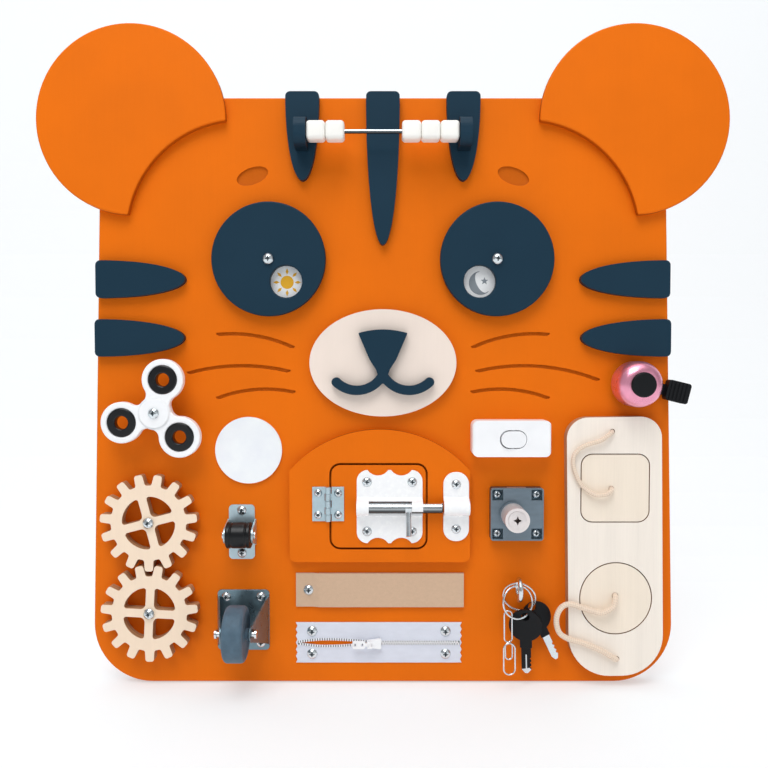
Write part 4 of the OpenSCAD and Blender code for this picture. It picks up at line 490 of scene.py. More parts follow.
def smooth_path(route, per_span=10):
    """A Catmull-Rom curve through the route's points."""
    p = np.asarray(route, float)
    q = np.concatenate([[p[0]], p, [p[-1]]])
    t = np.linspace(0, 1, per_span, endpoint=False)[None, :, None]
    a, b, c, d = (q[k:len(q) - 3 + k][:, None] for k in range(4))
    curve = 0.5 * (2 * b + (c - a) * t + (2 * a - 5 * b + 4 * c - d) * t * t + (3 * b - a - 3 * c + d) * t ** 3)
    return np.concatenate([curve.reshape(-1, 3), p[-1:]])


def round_off(node, look, width, angle=28.0, weights=None, second=None):
    """A copy of a solid, on its node's body, whose edges sharper than an angle in degrees are rounded to a radius
    in metres, or to a share of it per edge. A second look goes on the faces that its test picks."""
    data = frame["nodes"][node].data.copy()
    data.name = node + "_rounded"
    work = bmesh.new()
    work.from_mesh(data)
    bmesh.ops.remove_doubles(work, verts=work.verts, dist=2e-6)
    bmesh.ops.dissolve_degenerate(work, edges=work.edges, dist=1e-6)
    if weights is not None:
        layer = work.edges.layers.float.get("bevel_weight_edge") or work.edges.layers.float.new("bevel_weight_edge")
        limit = math.radians(angle)
        for edge in work.edges:
            if len(edge.link_faces) == 2 and edge.calc_face_angle(0.0) > limit:
                middle = (edge.verts[0].co + edge.verts[1].co) / 2
                edge[layer] = weights(middle, edge.calc_face_angle_signed(0.0))
    data.materials.clear()
    data.materials.append(look)
    if second is not None:
        data.materials.append(second[0])
        for face in second[1](work):
            face.material_index = 1
    work.to_mesh(data)
    work.free()
    obj = bpy.data.objects.new(data.name, data)
    bpy.context.scene.collection.objects.link(obj)
    data.polygons.foreach_set("use_smooth", np.ones(len(data.polygons), bool))
    data.set_sharp_from_angle(angle=math.radians(angle))
    if width > 0:
        bevel = obj.modifiers.new("rounding", "BEVEL")
        bevel.width = width
        bevel.segments = BEVEL_STEPS
        bevel.limit_method = "ANGLE" if weights is None else "WEIGHT"
        bevel.angle_limit = math.radians(angle)
        bevel.use_clamp_overlap = weights is None
        bevel.loop_slide = False
        bevel.miter_outer = "MITER_ARC"
        even = obj.modifiers.new("flat_faces_lead", "WEIGHTED_NORMAL")
        even.mode = "FACE_AREA_WITH_ANGLE"
        even.weight = 100
        even.keep_sharp = True
    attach(obj, BODY_OF[node])
    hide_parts(node)


# Metals and plastics of this object; c is the group of colours
def zinc_plate(c):
    return plated_metal("zinc_plated_steel", c.zinc, 0.34, metallic=0.7)


def cast_zinc(name, colour, pocket_shade_colour, high_colour, levels):
    """Sand-blasted zinc casting: dull grey, with painted shade on the floor of its corner pockets, and bright on its
    machined barrel.
    """
    material, tree, shader, coords = new_finish(name, {"Metallic": 0.5})
    if tree is None:
        return material
    obj = coords.outputs["Object"]
    cloud = noise_at(tree, obj, (90, 90, 300), 3.0)
    pores = noise_at(tree, obj, (1700, 1700, 1700), 2.0)
    height = coordinate(tree, obj, "Y")
    tint = drift(tree, cloud, colour, 0.9, 1.08)
    low, high = levels
    # Painted shade: the pocket floors, at and behind the lower level, take the dark colour
    tint = blend_colours(tree, ramp(tree, height, low - 0.0003, low + 0.0001), tint, pocket_shade_colour)
    tint = blend_colours(tree, ramp(tree, height, high - 0.0004, high + 0.0004, 1.0, 0.0), tint, high_colour)
    tree.links.new(tint, shader.inputs["Base Color"])
    tree.links.new(ramp(tree, cloud, 0.25, 0.75, 0.3, 0.42), shader.inputs["Roughness"])
    dent(tree, shader, pores, 0.1, 0.00003)
    return material


def nickel_plate(c):
    return plated_metal("nickel_plated_steel", c.nickel, 0.17, (300, 300, 300), 0.00001)


def turned_steel(c):
    """Chromed bar with a painted reflection: its colour is bright on upward faces and dark on downward ones, for the
    shaded side of the plate behind it that it would mirror.
    """
    material, tree, shader, coords = new_finish("chromed_bar", {"Metallic": 1.0, "Roughness": 0.16})
    if tree is None:
        return material
    upward = coordinate(tree, coords.outputs["Normal"], "Z")
    drawn = noise_at(tree, coords.outputs["Object"], (40, 900, 900), 2.0)
    # Painted reflection: the base colour runs from dark on downward faces to bright on upward ones
    tree.links.new(drift(tree, upward, c.nickel, 0.10, 0.95, -0.45, 0.35), shader.inputs["Base Color"])
    dent(tree, shader, drawn, 0.1, 0.00001)
    return material


def white_abs(c):
    return moulded_plastic("white_abs", c.abs_white, 0.32, 0.25)


def black_abs(c):
    return moulded_plastic("black_abs", c.abs_black, 0.42, 0.18)


def recesses(work):
    """The faces of each screw's cross recess, which get the painted shade: near its axis, or a little farther out and
    below the dome's top. The limits are shares of the head's radius."""
    near, far, sunk = 0.28, 0.55, 0.17
    seen, found = set(), []
    for start in work.faces:
        if start.index in seen:
            continue
        island, stack = [], [start]
        seen.add(start.index)
        while stack:
            face = stack.pop()
            island.append(face)
            for edge in face.edges:
                for other in edge.link_faces:
                    if other.index not in seen:
                        seen.add(other.index)
                        stack.append(other)
        points = np.array([v.co for face in island for v in face.verts])
        radius = np.ptp(points[:, 0]) / 2
        middle, top = (points.max(0) + points.min(0)) / 2, points[:, 1].min()
        for face in island:
            at = face.calc_center_median()
            away = math.hypot(at.x - middle[0], at.z - middle[2])
            if away < near * radius or away < far * radius and at.y - top > sunk * radius:
                found.append(face)
    return found


# Painted shade: a dark metal for the faces inside the screws' cross recesses
def screw_recess_shade(c):
    return plated_metal("screw_recess_shade", c.recess, 0.5)


class BOARD_OT_cords(bpy.types.Operator):
    """Two braided cords that tie the insets to the shape panel"""
    bl_idname = "busy_board.cords"
    bl_label = "Cords"

    def execute(self, context):
        colours, sizes = context.scene.board_colours, context.scene.board_sizes
        look = braided_cotton("braided_cotton", colours.cord)
        routes = {
            "cord_square": ([[166.5, -27.5, 4], [166.3, -27.7, 9], [164, -29, 12], [157, -33.9, 12.5], [145, -38, 12],
                             [138.2, -45.1, 11.6], [138.6, -55.3, 11.4], [144.1, -66.5, 11.6], [153.3, -73, 12.4],
                             [161.6, -72.6, 13], [165.6, -70, 11.6], [166, -69, 9], [166, -69, 4]],
                            1.6, ROOT, "square_piece"),
            "cord_round": ([[169.6, -147.7, 4], [169.6, -147.7, 9], [169, -149.6, 12.4], [166.5, -155.1, 13.6],
                            [158.7, -159, 13.4], [148, -156.6, 12.6], [136.3, -152.8, 12.8], [129.5, -155.1, 13.2],
                            [125.9, -163, 13.4], [127.7, -172.8, 13.2], [134.6, -178.2, 12.6], [146.3, -181.7, 12.4],
                            [159, -187.1, 13], [168.6, -193, 12.2], [170.6, -194.4, 9], [170.8, -194.5, 4]],
                           2.0, "round_piece", ROOT),
        }
        for node, (route, radius, first, last) in routes.items():
            path = smooth_path(route)
            points, faces = tube(path, radius)
            obj = add_piece(node + "_braid", points, faces, look, "cotton_cord", body=None, replaced=(node,))
            steps = np.concatenate([[0], np.cumsum(np.linalg.norm(np.diff(path, axis=0), axis=1))])
            metres = stand(path)
            self.plait(obj, metres, steps, sizes.braid)
            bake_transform(obj)
        return {"FINISHED"}

    @staticmethod
    def plait(obj, path, steps, braid):
        """UV of each corner: u is the distance along the cord over the braid's length, v the quarter turns round it."""
        mesh = obj.data
        co = np.empty(len(mesh.vertices) * 3)
        mesh.vertices.foreach_get("co", co)
        co = co.reshape(-1, 3)
        near = np.argmin(((co[:, None] - path[None]) ** 2).sum(-1), axis=1)
        d = np.gradient(path, axis=0)
        d /= np.linalg.norm(d, axis=1)[:, None]
        side = np.cross(d, OFF_AXIS)
        side /= np.linalg.norm(side, axis=1)[:, None]
        up = np.cross(d, side)
        off = co - path[near]
        turn = np.arctan2((off * up[near]).sum(-1), (off * side[near]).sum(-1)) / (2 * np.pi)
        u, v = steps[near] / 1000 / braid, turn * 4
        corners = np.empty(len(mesh.loops), int)
        mesh.loops.foreach_get("vertex_index", corners)
        uv = np.stack([u[corners], v[corners]], -1)
        first = np.repeat([poly.loop_start for poly in mesh.polygons], [poly.loop_total for poly in mesh.polygons])
        jump = uv[:, 1] - uv[first, 1]
        uv[:, 1] -= 4 * np.round(jump / 4)
        layer = mesh.uv_layers.new(name="plait")
        layer.data.foreach_set("uv", uv.astype(np.float32).ravel())


class BOARD_OT_painted_wood(bpy.types.Operator):
    """Board, ears, stripes, muzzle, nose, eyes and the abacus's brackets, with sanded edges"""
    bl_idname = "busy_board.painted_wood"
    bl_label = "Painted wood"

    def execute(self, context):
        colours, sizes = context.scene.board_colours, context.scene.board_sizes
        orange = acrylic_paint("orange_acrylic", colours.orange)
        navy = acrylic_paint("navy_acrylic", colours.navy, 0.46)
        cream = acrylic_paint("cream_acrylic", colours.cream, 0.55)
        front, back = -BOARD_T / 1000, 0.0
        top, height, half_top, flare, corner, near = 0.065, 0.43, 0.2055, 0.010, 0.045, 0.0005
        bottom = top - height

        def board_share(middle, bend):
            """Whole radius on the outline, a third on the grooves' lips, none inside holes."""
            on_front, on_back = (abs(middle.y - face) < 1e-5 for face in (front, back))
            if bend <= 0 or not (on_front or on_back):
                return 0.0
            half = half_top + flare * (top - middle.z) / height
            beside = abs(middle.x) > half - corner + near
            outline = middle.z > top - near or middle.z < bottom + near or \
                beside and (abs(middle.x) > half - 2 * near or middle.z < bottom + corner)
            return 1.0 if outline else 0.3 if on_front else 0.0

        grooves = (front, front + GROOVE_DEPTH / 1000)
        round_off("board", acrylic_paint("grooved_orange_acrylic", colours.orange, grooves=grooves), sizes.board_edge,
                  weights=board_share)
        for node, look, share in (("ears", orange, 1.2), ("stripes", navy, 1.0), ("nose_and_smile", navy, 0.9),
                                  ("muzzle", cream, 1.0), ("abacus_brackets", navy, 1.3),
                                  ("eye_disc_left", navy, 1.1), ("eye_disc_right", navy, 1.1),
                                  ("door_frame", orange, 0.8), ("door", orange, 0.7)):
            round_off(node, look, sizes.overlay_edge * share)
        return {"FINISHED"}


def bead_surface(node, hole=1.8, edge=2.5, corner=3.0, steps=7):
    """A box with a hole along x: rounded squares, drawn in by edge * (1 - cos a) at x = half width - edge + edge *
    sin a and its mirror image, and joined at both ends to the hole's rim."""
    low, high = (np.array(point) * 1000 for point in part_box(node))
    half = (high - low) / 2
    middle = np.array([low[0] + high[0], low[2] + high[2] + 2 * HANG_Y, -low[1] - high[1] - 2 * BOARD_T]) / 2
    t = np.radians(np.concatenate([np.linspace(k * 90, k * 90 + 90, steps) for k in range(4)]))
    sign = np.repeat([[1, 1], [-1, 1], [-1, -1], [1, -1]], steps, axis=0)
    way = np.stack([np.cos(t), np.sin(t)], -1)
    rows = []
    for side in (-1, 1):
        for a in np.radians(np.linspace(90, 0, steps))[::1 if side < 0 else -1]:
            ring = sign * (half[[2, 1]] - corner) + way * (corner - edge * (1 - math.cos(a)))
            rows.append(np.column_stack([np.full(len(t), side * (half[0] - edge + edge * math.sin(a))), ring]))
    rims = [np.column_stack([end[:, :1], hole * end[:, 1:] / np.linalg.norm(end[:, 1:], axis=1, keepdims=True)])
            for end in (rows[0], rows[-1])]
    grid = np.stack([rims[0], *rows, rims[1]])
    return grid + middle, grid_faces(len(grid), len(t), closed_rows=True, closed_cols=True)


class BOARD_OT_abacus(bpy.types.Operator):
    """Five lacquered beads on a chromed rod"""
    bl_idname = "busy_board.abacus"
    bl_label = "Abacus"

    def execute(self, context):
        colours = context.scene.board_colours
        lacquer = moulded_plastic("lacquered_bead", colours.bead, 0.35)
        for i in range(1, 6):
            node = f"bead_{i}"
            add_piece(node + "_lacquered", *bead_surface(node), lacquer, SLOT_OF[node], BODY_OF[node], (node,), 60)
        round_off("abacus_rod", turned_steel(colours), 0.0002)
        return {"FINISHED"}


def star(centre, radius, points=5, turn=90.0):
    """Corners at the radius and at 0.45 of it, by turns."""
    a = np.radians(turn + 180.0 / points * np.arange(2 * points))
    r = np.where(np.arange(2 * points) % 2 == 0, radius, radius * 0.45)
    return np.stack([centre[0] + r * np.cos(a), centre[1] + r * np.sin(a)], -1)


def disc(centre, radius):
    a = np.linspace(0, 2 * np.pi, 40, endpoint=False)
    return np.stack([centre[0] + radius * np.cos(a), centre[1] + radius * np.sin(a)], -1)


def turned(shape, centre, radius, degrees):
    """An outline about the origin, enlarged, turned and moved."""
    t = math.radians(degrees)
    return centre + radius * shape @ np.array([[math.cos(t), math.sin(t)], [-math.sin(t), math.cos(t)]])


def crescent(centre, radius, degrees):
    """(cos a, sin a) out, and back along the flatter (0.45 cos a - 0.1, 0.93 sin a), for a up to 112 degrees."""
    a = np.linspace(-np.pi * 0.62, np.pi * 0.62, 24)
    outer = np.stack([np.cos(a), np.sin(a)], -1)
    inner = np.stack([np.cos(a[::-1]) * 0.45 - 0.10, np.sin(a[::-1]) * 0.93], -1)[1:-1]
    return turned(np.concatenate([outer, inner]), centre, radius, degrees)


def leaf(centre, radius, degrees):
    """Two arcs that meet in points: (s, +-0.45 sin(pi (s + 1) / 2))."""
    s = np.linspace(-1, 1, 20)
    w = 0.45 * np.sin(np.pi * (s + 1) / 2)
    shape = np.concatenate([np.stack([s, w], -1), np.stack([s[::-1], -w[::-1]], -1)[1:-1]])
    return turned(shape, centre, radius, degrees)


def print_shape(name, outlines, height, look):
    """Thin prisms of ink on the card."""
    points, faces, count = [], [], 0
    for outline in outlines:
        n = len(outline)
        points += [[x, y, height - 0.05] for x, y in outline] + [[x, y, height] for x, y in outline]
        faces += [list(range(count + n - 1, count - 1, -1)), list(range(count + n, count + 2 * n))]
        faces += [[count + k, count + (k + 1) % n, count + n + (k + 1) % n, count + n + k] for k in range(n)]
        count += 2 * n
    add_piece(name, points, faces, look, "card")


class BOARD_OT_pictures(bpy.types.Operator):
    """Round cards under the eyes, printed with suns, stars, moons and leaves"""
    bl_idname = "busy_board.pictures"
    bl_label = "Pictures"

    def execute(self, context):
        colours = context.scene.board_colours
        yellow = printed_paper("yellow_ink", colours.yellow)
        grey = printed_paper("grey_ink", colours.grey)
        green = printed_paper("green_ink", colours.green)
        round_off("picture_cards", printed_paper("white_card", colours.card), 0.0001)
        ring, first, rays_out = 20.6, -52, 7.8
        for side, name in ((-1, "left"), (1, "right")):
            a = np.radians(first + 60 * np.arange(6))
            at = np.stack([side * (EYE_X - ring * np.cos(a)), EYE_Y + ring * np.sin(a)], -1)
            if side < 0:
                rays = [star(at[0] + rays_out * np.array([math.cos(t), math.sin(t)]), 2.4, 2, turn=math.degrees(t))
                        for t in np.linspace(0, 2 * np.pi, 9)[:-1]]
                suns = [disc(at[0], 4.8), star(at[2], 6.5), star(at[4], 6.0, 6), *rays]
                moons = [crescent(at[1], 6.5, 40)]
                leaves = [leaf(at[3], 7.0, 30), leaf(at[5], 6.5, -50)]
            else:
                suns = [star(at[1], 6.0), disc(at[3], 5.0)]
                moons = [crescent(at[0] + [1.4, -0.5], 8.6, 205), star(at[0] + [4.2, 0.9], 2.8),
                         crescent(at[4], 6.0, 20)]
                leaves = [leaf(at[2], 7.0, 100), leaf(at[5], 7.0, 10)]
            print_shape(f"suns_{name}", suns, 0.68, yellow)
            print_shape(f"moons_{name}", moons, 0.70, grey)
            print_shape(f"leaves_{name}", leaves, 0.68, green)
        return {"FINISHED"}


class BOARD_OT_spinner(bpy.types.Operator):
    """Three-lobed spinner with bearings, and the round mirror beside it"""
    bl_idname = "busy_board.spinner"
    bl_label = "Spinner and mirror"

    def execute(self, context):
        colours, sizes = context.scene.board_colours, context.scene.board_sizes
        round_off("spinner_body", white_abs(colours), sizes.moulded_edge * 1.3)
        round_off("spinner_weights", moulded_plastic("black_bearing", colours.abs_black, 0.22, 0.35), 0.0009)
        # The mirror's finish is mostly a painted reflection of the pale room
        round_off("mirror_disc", silvered_acrylic("silvered_acrylic", colours.mirror), 0.0004)
        return {"FINISHED"}


class BOARD_OT_gears(bpy.types.Operator):
    """Two meshing birch gears"""
    bl_idname = "busy_board.gears"
    bl_label = "Gears"

    def execute(self, context):
        colours, sizes = context.scene.board_colours, context.scene.board_sizes
        birch = birch_ply("sanded_birch", colours.gear_birch, colours.burnt_birch, 0.35)
        for node in ("gear_upper", "gear_lower"):
            round_off(node, birch, sizes.wood_edge, angle=24)
        return {"FINISHED"}


def roller_profile(bore):
    """Nylon barrel, (r, x) with r = 9.5 - 0.55 exp(-((|x| - 5.4) / 0.55) ^ 2) - 1.1 max(0, |x| - 8) ^ 2.2: two grooves
    and rounded rims."""
    end = 9.0
    x = np.linspace(-end, end, 73)
    r = 9.5 - 0.55 * np.exp(-((np.abs(x) - 5.4) / 0.55) ** 2) - 1.1 * np.clip(np.abs(x) - 8.0, 0, 1) ** 2.2
    return np.concatenate([[[bore, -end]], np.stack([r, x], -1), [[bore, end]]])


def wheel_profile(bore):
    """Rubber tread with round shoulders, a dished side and a hub that reaches for the legs."""
    tread, side, shoulder = 19.5, 7.3, 2.9
    a = np.linspace(0, np.pi / 2, 8)
    dish = [[bore, 9.1], [3.7, 9.1], [4.0, 8.8], [4.0, 7.0], [6.4, 6.7], [13.6, 6.3], [14.8, 6.6], [15.6, 7.1]]
    curve = np.stack([tread - shoulder + shoulder * np.sin(a), side - shoulder + shoulder * np.cos(a)], -1)
    right = np.concatenate([dish, curve])
    return np.concatenate([right, right[::-1] * [1, -1]])


class BOARD_OT_rollers(bpy.types.Operator):
    """Small roller and caster in pressed steel brackets"""
    bl_idname = "busy_board.rollers"
    bl_label = "Roller and caster"

    def execute(self, context):
        colours, sizes = context.scene.board_colours, context.scene.board_sizes
        round_off("roller_bracket", zinc_plate(colours), sizes.sheet_edge)
        # The caster's bracket takes the darker zinc colour, a painted dark reflection
        round_off("caster_bracket", plated_metal("zinc_with_painted_dark_reflection", colours.pressed, 0.3, metallic=0.8), sizes.sheet_edge)
        round_off("axle_pins", nickel_plate(colours), 0.0003)
        nylon = moulded_plastic("black_nylon", colours.roller, 0.3, 0.3)
        rubber = wheel_rubber("thermoplastic_rubber", colours.wheel)
        for name, shape, centre, look, slot, body, node in (
                ("roller_barrel", roller_profile, ROLLER_CENTRE, nylon, "black_plastic", "roller", "roller_wheel"),
                ("caster_tyre", wheel_profile, CASTER_CENTRE, rubber, "grey_rubber", "caster", "caster_wheel")):
            profile = shape(2.08)
            points, faces = lathe(np.concatenate([profile, profile[:1]]), centre)
            add_piece(name, points, faces, look, slot, body, (node,), 40)
        return {"FINISHED"}


class BOARD_OT_door_hardware(bpy.types.Operator):
    """Butt hinge, barrel bolt, keeper and their screws"""
    bl_idname = "busy_board.door_hardware"
    bl_label = "Door hardware"

    def execute(self, context):
        colours, sizes = context.scene.board_colours, context.scene.board_sizes
        steel, nickel = zinc_plate(colours), nickel_plate(colours)
        enamel = baked_enamel("baked_white_enamel", colours.enamel)
        folded, stamped = sizes.sheet_edge * 0.6, sizes.sheet_edge * 2
        for node, look, width in (("hinge_leaf_frame", steel, folded), ("hinge_leaf_door", steel, folded),
                                  ("bolt_plate", enamel, stamped), ("bolt_keeper", enamel, stamped),
                                  ("bolt_rod", turned_steel(colours), 0.0003), ("bolt_handle", nickel, 0.0004)):
            round_off(node, look, width)
        round_off("door_screws", nickel, 0.0, second=(screw_recess_shade(colours), recesses))
        return {"FINISHED"}


class BOARD_OT_cloth(bpy.types.Operator):
    """Hook-and-loop strap, its hook tape and the zip's tapes, teeth, slider and pull"""
    bl_idname = "busy_board.cloth"
    bl_label = "Strap and zip"

    def execute(self, context):
        colours, sizes = context.scene.board_colours, context.scene.board_sizes
        self.strap(looped_nylon("looped_nylon", colours.strap))
        self.hook_tape(looped_nylon("hooked_nylon", colours.hooks))
        self.zip(colours, sizes)
        return {"FINISHED"}

    @staticmethod
    def ribbon(xs, middle, thickness, sway=None):
        """A flat tape along x: its section is a rectangle with round sides, its middle height a function of x."""
        edge, across, arc = 0.35, 14, 5
        y0, y1, half = STRAP_Y - STRAP_HALF + edge, STRAP_Y + STRAP_HALF - edge, thickness / 2
        a = np.linspace(-np.pi / 2, np.pi / 2, arc)
        v = np.linspace(y0, y1, across)
        ring_y = np.concatenate([v, y1 + edge * np.cos(a), v[::-1], y0 - edge * np.cos(a)])
        ring_z = np.concatenate([-half * np.ones(across), half * np.sin(a), half * np.ones(across), -half * np.sin(a)])
        n = len(ring_y)
        x = np.repeat(xs[:, None], n, 1)
        y = np.repeat(ring_y[None], len(xs), 0)
        z = middle[:, None] + ring_z[None]
        if sway is not None:
            z = z + sway(x, y) * (ring_z[None] > 0)
        faces = grid_faces(len(xs), n, closed_cols=True).tolist()
        for base, turn in ((0, 1), ((len(xs) - 1) * n, -1)):
            low = [base + k for k in range(across)]
            right = [base + across + k for k in range(arc)]
            high = [base + across + arc + k for k in range(across)][::-1]
            left = [base + 2 * across + arc + k for k in range(arc)]
            faces += [[low[k], low[k + 1], high[k + 1], high[k]][::turn] for k in range(across - 1)]
            faces += [[low[-1], *right, high[-1]][::turn], [high[0], *left, low[0]][::turn]]
        return np.stack([x, y, z], -1), faces

    def strap(self, look):
        """The height climbs from the board onto the hook tape as 3 t^2 - 2 t^3."""
        foot, climb, low, rise = -53.5, 7.5, 0.8, 1.4
        xs = np.concatenate([np.linspace(-64.3, -54, 14), np.linspace(foot, -45, 26), np.linspace(-44, 59.7, 90)])
        t = np.clip((xs - foot) / climb, 0, 1)
        points, faces = self.ribbon(xs, low + rise * t * t * (3 - 2 * t), 1.6,
                                    sway=lambda x, y: 0.10 * np.sin(x / 6.1) * np.sin(y / 4.7 + x / 17))
        obj = add_piece("strap_tape", points, faces, look, "tan_tape", body=None, replaced=("strap",))
        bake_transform(obj)

    def hook_tape(self, look):
        xs = np.linspace(-47.3, 59.7, 60)
        points, faces = self.ribbon(xs, np.full(len(xs), 0.6), 1.2)
        obj = add_piece("hook_tape_strip", points, faces, look, "tan_tape", replaced=("hook_tape",))

    def zip(self, colours, sizes):
        weave = woven_tape("woven_polyester", colours.zip_tape)
        left, length, drop, half_w, slider_left, slider_len = -64.6, 123.0, -185.3, 15.1, -12.0, 10.8
        slit_left, slit_close, peak, shut, opened = left + 2.5, slider_left + 0.4 * slider_len, 0.35, 0.05, 1.85

        def slit(x):
            """A quarter sine that opens up to its peak, a quarter cosine that closes within the slider."""
            t = np.clip((x - slit_left) / (slit_close - slit_left), 0, 1)
            return shut + opened * np.where(t < peak, np.sin(np.pi / 2 * t / peak),
                                            np.cos(np.pi / 2 * (t - peak) / (1 - peak)))

        notch = 1.2
        for side, name in ((1, "upper"), (-1, "lower")):
            u, v = np.meshgrid(np.linspace(0, 1, 150), np.linspace(0, 1, 25), indexing="ij")
            zigzag = notch * np.abs(((v * 6) % 2) - 1)
            x0, x1 = left + notch - zigzag, left + length - notch + zigzag
            x = x0 + (x1 - x0) * u
            inner = slit(x)
            y = drop + side * (inner + (half_w - inner) * v)
            ripple = 0.12 * np.sin(x / 5.3 + side) * np.sin(np.pi * v) + 0.06 * np.sin(x / 2.1 + 3 * v)
            top = 1.0 + np.clip(ripple, -0.12, 0.12) - 0.25 * (np.clip((v - 0.94) / 0.06, 0, 1)) ** 2
            rows, cols = x.shape
            points = np.concatenate([np.stack([x, y, z], -1).reshape(-1, 3) for z in (top, np.full_like(top, 0.12))])
            faces = grid_faces(rows, cols)
            n = rows * cols
            rim = np.concatenate([np.arange(cols), np.arange(1, rows) * cols + cols - 1,
                                  (rows - 1) * cols + np.arange(cols - 2, -1, -1), np.arange(rows - 2, 0, -1) * cols])
            walls = np.stack([rim, np.roll(rim, -1), np.roll(rim, -1) + n, rim + n], -1)
            faces = np.concatenate([faces, faces[:, ::-1] + n, walls])
            obj = add_piece(f"zip_tape_{name}", points, faces, weave, "white_tape",
                            replaced=("zip_tapes",) if side > 0 else (), smooth=50)
            self.teeth(name, side, slit, left, length, drop, sizes.tooth_pitch * 1000, colours)
        for node, width in (("zip_slider", 0.0004), ("zip_pull", 0.0003)):
            round_off(node, white_abs(colours), width)

    @staticmethod
    def teeth(name, side, slit, left, length, drop, pitch, colours):
        """Rounded blocks on a tape's inner edge, one side's half a pitch on from the other's, on a shaded core. The
        outline of a block is (|cos a| ^ 0.6, |sin a| ^ 0.6) with the signs of cos a and sin a."""
        half_long, half_wide, inset, n = pitch * 0.31, 0.95, 0.62, 8
        xs = np.arange(left + 2.6 + (0 if side > 0 else pitch / 2), left + length - 2.4, pitch)
        a = np.linspace(0, 2 * np.pi, n, endpoint=False) + np.pi / n
        ring = np.stack([half_long * np.sign(np.cos(a)) * np.abs(np.cos(a)) ** 0.6,
                         half_wide * np.sign(np.sin(a)) * np.abs(np.sin(a)) ** 0.6], -1)
        levels = ((0.7, 1.0), (1.62, 1.0), (1.88, 0.72))
        centre = np.stack([xs, drop + side * (slit(xs) + inset)], -1)
        block = np.concatenate([np.concatenate([ring * share, np.full((n, 1), z)], -1) for z, share in levels])
        points = np.concatenate([block + [cx, cy, 0] for cx, cy in centre])
        one = grid_faces(3, n, closed_cols=True).tolist() + [list(range(n))[::-1], [2 * n + k for k in range(n)]]
        faces = [[k + 3 * n * i for k in face] for i in range(len(xs)) for face in one]
        acetal = moulded_plastic("acetal_teeth", colours.zip_teeth, 0.3)
        add_piece(f"zip_teeth_{name}", points, faces, acetal, "white_plastic")
        xs = np.linspace(left + 1.6, left + length - 1.6, 120)
        inner = drop + side * slit(xs)
        edge = np.stack([np.stack([xs, inner + side * y, np.full_like(xs, z)], -1)
                         for y, z in ((0.02, 0.9), (0.02, 1.3), (1.35, 1.3), (1.35, 0.9))], 1)
        faces = grid_faces(len(xs), 4, closed_cols=True).tolist()
        faces += [[0, 1, 2, 3], [4 * len(xs) - k for k in (1, 2, 3, 4)]]
        add_piece(f"zip_core_{name}", edge, faces, woven_tape("shaded_polyester", colours.zip_core), "white_tape")


class BOARD_OT_switch_and_lock(bpy.types.Operator):
    """Lamp switch with its rocker, and the drawer lock"""
    bl_idname = "busy_board.switch_and_lock"
    bl_label = "Switch and lock"

    def execute(self, context):
        colours, sizes = context.scene.board_colours, context.scene.board_sizes
        for node in ("switch_housing", "switch_rocker"):
            round_off(node, white_abs(colours), sizes.moulded_edge)
        pocket_floor, barrel_face = 5, 10.4
        casting = cast_zinc("zinc_casting", colours.casting, colours.casting_pocket_shade, colours.barrel,
                            (-(BOARD_T + pocket_floor) / 1000, -(BOARD_T + barrel_face) / 1000))
        round_off("lock_body", casting, sizes.sheet_edge * 1.6)
        round_off("lock_plug", plated_metal("brushed_nickel", colours.barrel, 0.36), sizes.sheet_edge * 1.6)
        round_off("lock_deadbolt", zinc_plate(colours), sizes.sheet_edge)
        return {"FINISHED"}


def about(axis, degrees):
    """Rodrigues: the matrix that turns about a unit axis."""
    k, t = np.asarray(axis, float), math.radians(degrees)
    cross = np.array([[0, -k[2], k[1]], [k[2], 0, -k[0]], [-k[1], k[0], 0]])
    return np.eye(3) + math.sin(t) * cross + (1 - math.cos(t)) * cross @ cross


class BOARD_OT_keys(bpy.types.Operator):
    """Screw eye, key rings, paper clips and two keys with black bows"""
    bl_idname = "busy_board.keys"
    bl_label = "Keys"

    def execute(self, context):
        colours = context.scene.board_colours
        nickel, black = nickel_plate(colours), black_abs(colours)
        for node in ("key_hook", "ring_1", "ring_2", "paper_clip"):
            round_off(node, nickel, 0.0)
        # Each key's hole, the angle of the ring's radius there, its tilt and turn, and where its plated tip begins
        first = ((103.59, -162.03, 11.9), -62, 13.5, 2)
        second = ((109.32, -156.7, 6), -38, -10, 25)
        # Painted reflection: the first key's blade keeps the bows' black plastic up to its tip, for the dark that its
        # steel reflects
        for node, place, tip in (("key_1", first, 41.0), ("key_2", second, 23.3)):
            round_off(node, black, 0.0004, second=(nickel, self.beyond(*self.hung(*place), tip)))
        self.groove(*self.hung(*first), nickel)
        return {"FINISHED"}

    @staticmethod
    def hung(at, angle, tilt, turn):
        """Where a key hangs and the turn of its own axes: turned in its plane, then tilted about the ring's radius."""
        t = math.radians(angle)
        return np.asarray(at, float), about([math.cos(t), math.sin(t), 0], tilt) @ about([0, 0, 1], turn)

    @staticmethod
    def beyond(at, way, reach):
        """Picks the faces more than a reach down the key from its hole."""
        start, down = stand(at), stand(at + way @ [0, -1, 0]) - stand(at)
        down = down / np.linalg.norm(down)

        def pick(work):
            return [face for face in work.faces if (np.array(face.calc_center_median()) - start) @ down > reach / 1000]
        return pick

    @staticmethod
    def groove(at, way, look):
        """A strip of nickel along the first key's blade: a painted highlight of its milled groove, on a blade painted
        dark as a reflection.
        """
        half, end, start = 0.45, -41.2, -29.0
        corners = ((-half, end), (half, end), (half, start), (-half, start))
        box = [[x, y, z] for z in (0.84, 0.9) for x, y in corners]
        points = [at + way @ np.array(p) for p in box]
        faces = [[3, 2, 1, 0], [4, 5, 6, 7], [0, 1, 5, 4], [1, 2, 6, 5], [2, 3, 7, 6], [3, 0, 4, 7]]
        add_piece("key_1_groove_highlight", points, faces, look, SLOT_OF["key_1"], "first_key")


